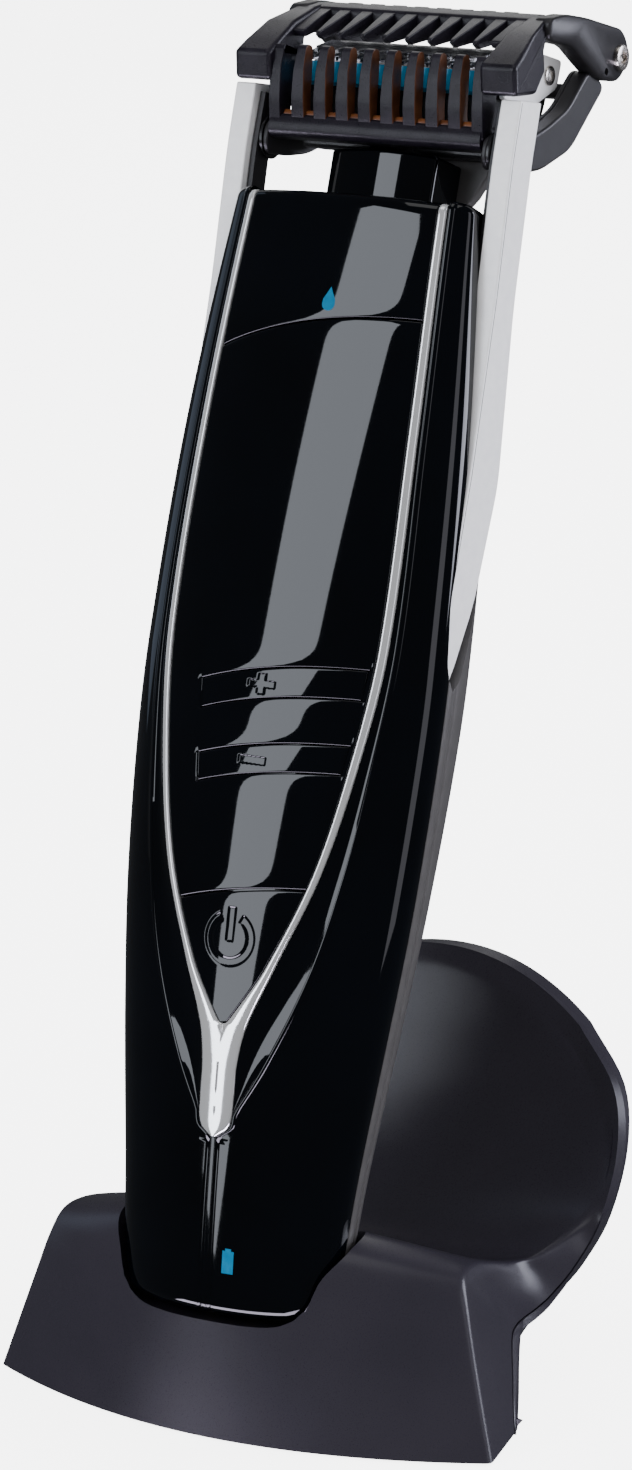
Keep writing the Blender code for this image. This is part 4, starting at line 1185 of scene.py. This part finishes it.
def build_head(looks):
    matte = looks["matte_charcoal"]
    hook = [(9.9, -0.3), (17.9, 4.4), (22.4, 11.1), (25.4, 15.4), (20.0, 17.0), (17.4, 13.4), (15.2, 10.0),
            (10.0, 6.2)]
    web = [(-3.0, -1.2), (-1.8, -2.8), (3.7, -2.0), *hook, (3.6, 3.0), (-0.6, 3.0), (-3.0, 1.4)]
    web = rounded(web, 2.0, 6)
    rim = rounded([(4.6, -1.8), *hook, (5.0, 3.4)], 2.0, 6)
    lever = rounded([(4.2, 17.2), (3.8, 20.4), (8.6, 22.2), (15.1, 23.2), (26.3, 24.2), (28.9, 22.2),
                     (29.2, 19.4), (27.4, 16.6), (22.0, 15.6), (15.3, 17.2), (11.6, 18.2)], 1.5, 6)
    disc = [(0, 3.2), (0.35, 3.2), (0.5, 3.0), (0.56, 2.4), (0.56, 0.6)]
    pin = [(0, 0.55), (4, 0.55)]
    wing = rounded([(3.4, 8.4), (4.6, 13.4), (13.4, 17.2), (19.2, 17.6), (19.0, 13.4), (12.0, 8.8)], 0.9, 5)
    for side, name in SIDES:
        out = (side, 0, 0)
        inside = slab(f"cheek_{name}_web", web, side * 17.4, side * 18.2, matte, 0.25)
        outside = slab(f"cheek_{name}_rim", rim, side * 18.0, side * 20.6, matte, 0.5, 3)
        place(joined(f"cheek_{name}_cover", [inside, outside]), "cradle", "matte_charcoal", f"cheek_{name}")
        arm = slab(f"lever_{name}_cover", lever, side * 18.5, side * 21.6, matte, 0.55, 3)
        hole = turned(f"cut_pin_{name}", on_head(side * 24, 22.9, 17.1), (-side, 0, 0), pin, matte, 24)
        bake(arm)
        cut(arm, [hole])
        place(arm, "cradle", "matte_charcoal", f"lever_{name}")
        cover = turned(f"pivot_{name}_cap", on_head(side * 18.3, 0, 0), out, disc, looks["housing_black"])
        place(cover, "cradle", "housing_black", f"pivot_disc_{name}")
        screw(f"knuckle_screw_{name}", on_head(side * 21.5, 26.4, 20.0), out, 1.95, 0.75, looks, "cradle")
        screw(f"side_plate_screw_{name}", on_head(side * 16.1, 15.7, 14.6), out, 1.45, 0.5, looks, "handle")
        cover = slab(f"side_{name}_cover", wing, side * 15.2, side * 16.2, looks["satin_silver"], 0.25)
        place(cover, "handle", "satin_silver", f"side_plate_{name}")
    edges = {"head_housing": 0.35, "blade_carrier": 0.15, "cradle_tie": 0.3, "stand_foot_pad": 0.3,
             "dc_inlet_socket": 0.3}
    for node, width in edges.items():
        soften(frame["nodes"][node], width, 2, 40)


# ---------------------------------------------------------------- stage, light and camera

def direction(azimuth, elevation):
    """A unit vector. Azimuth 0 is in front of the object and turns towards +X."""
    turn, rise = radians(azimuth), radians(elevation)
    return Vector((sin(turn) * cos(rise), -cos(turn) * cos(rise), sin(rise)))


def soft_box(name, size, power, colour):
    made = bpy.data.lights.new(name, "AREA")
    made.shape = "RECTANGLE"
    made.size, made.size_y = size
    made.energy = power
    made.color = colour
    return added(name, made)


def area_light(name, azimuth, elevation, distance, size, power, colour=(1, 1, 1)):
    """A soft box at a direction and distance from the handle's middle."""
    lamp = soft_box(name, size, power, colour)
    way = direction(azimuth, elevation)
    lamp.location = HANDLE_MIDDLE + way * distance
    lamp.rotation_euler = way.to_track_quat("Z", "Y").to_euler()


def leaning_light(name, low, high, width, power, colour):
    """A soft box between the middles of two edges, each an (azimuth, elevation, distance) place."""
    low, high = (Vector((0, 0, STRIP_AIM.z)) + direction(azimuth, elevation) * distance
                 for azimuth, elevation, distance in (low, high))
    centre, up = (low + high) / 2, (high - low).normalized()
    side = up.cross((centre - STRIP_AIM).normalized()).normalized()
    lamp = soft_box(name, (width, (high - low).length), power, colour)
    turn = Matrix((side, up, side.cross(up))).transposed()
    lamp.matrix_world = Matrix.Translation(centre) @ turn.to_4x4()


def background(tree, colour, strength):
    made = tree.nodes.new("ShaderNodeBackground")
    made.inputs["Color"].default_value = (*colour, 1)
    made.inputs["Strength"].default_value = strength
    return made.outputs["Background"]


def by_ray(tree, kind, others, this):
    """One shader for one kind of ray and another for the others."""
    path = tree.nodes.new("ShaderNodeLightPath")
    mix = tree.nodes.new("ShaderNodeMixShader")
    link(tree, path.outputs[kind], mix.inputs["Fac"])
    link(tree, others, mix.inputs[1])
    link(tree, this, mix.inputs[2])
    return mix.outputs["Shader"]


def build_stage(looks):
    reach = FLOOR_HALF / MM
    corners = [(-reach, -reach, 0), (reach, -reach, 0), (reach, reach, 0), (-reach, reach, 0)]
    floor = solid("floor", corners, [(0, 1, 2, 3)], looks["floor_paper"], open_sheet=True)
    shader = looks["floor_paper"].node_tree.nodes["Principled BSDF"]
    shader.inputs["Emission Color"].default_value = (1.0, 1.0, 1.0, 1.0)
    shader.inputs["Emission Strength"].default_value = FLOOR_GLOW
    floor.visible_glossy = False
    floor.visible_diffuse = False
    world = bpy.data.worlds.new("studio")
    world.use_nodes = True
    bpy.context.scene.world = world
    tree = world.node_tree
    tree.nodes.clear()
    output = tree.nodes.new("ShaderNodeOutputWorld")
    fill = background(tree, (1, 1, 1), 1.0)
    mirrored = background(tree, (0.9, 0.93, 1.0), 0.07)
    backdrop = background(tree, (0.8, 0.8, 0.8), 6.8)
    seen = by_ray(tree, "Is Camera Ray", by_ray(tree, "Is Glossy Ray", fill, mirrored), backdrop)
    link(tree, seen, output.inputs["Surface"])
    leaning_light("strip_box", (-29.5, -9, 1.8), (-14.5, 40, 0.92), 0.335, 7.5, (0.86, 0.91, 1.0))
    leaning_light("low_box", (5, -60, 1.2), (5, -34, 1.2), 2.2, 52, (0.86, 0.8, 1.0))
    area_light("right_box", 78, 12, 1.3, (0.3, 1.1), 1.6, (0.9, 0.9, 1.0))
    area_light("left_box", -100, 20, 1.4, (0.35, 1.2), 0.7, (0.6, 0.75, 1.0))
    area_light("top_box", 10, 82, 1.4, (0.8, 0.8), 2.5)
    area_light("back_left", -150, 35, 1.5, (0.6, 0.9), 2.5)
    area_light("back_right", 128, 16, 1.4, (0.8, 0.9), 19, (0.84, 0.86, 1.0))


def build_camera():
    made = bpy.data.cameras.new("camera")
    made.sensor_fit = "VERTICAL"
    made.sensor_height = 36.0
    made.lens = LENS
    made.clip_start = 0.01
    camera = added("camera", made)
    camera.location = CAMERA_PLACE
    camera.rotation_euler = (radians(90 - CAMERA_DOWN), 0, radians(CAMERA_TURN))
    bpy.context.scene.camera = camera


looks = build_looks()
build_camera()
build_stage(looks)
dress_cad(looks)
build_front(looks)
build_rear(looks)
build_face(looks["gloss_black"])
build_keys(looks["gloss_black"])
build_brow(looks["gloss_black"])
build_power(looks["gloss_black"])
build_trim(looks)
build_lamp(looks)
build_drop(looks)
build_stand(looks)
build_arms(looks)
build_comb(looks)
build_neck(looks)
build_head(looks)
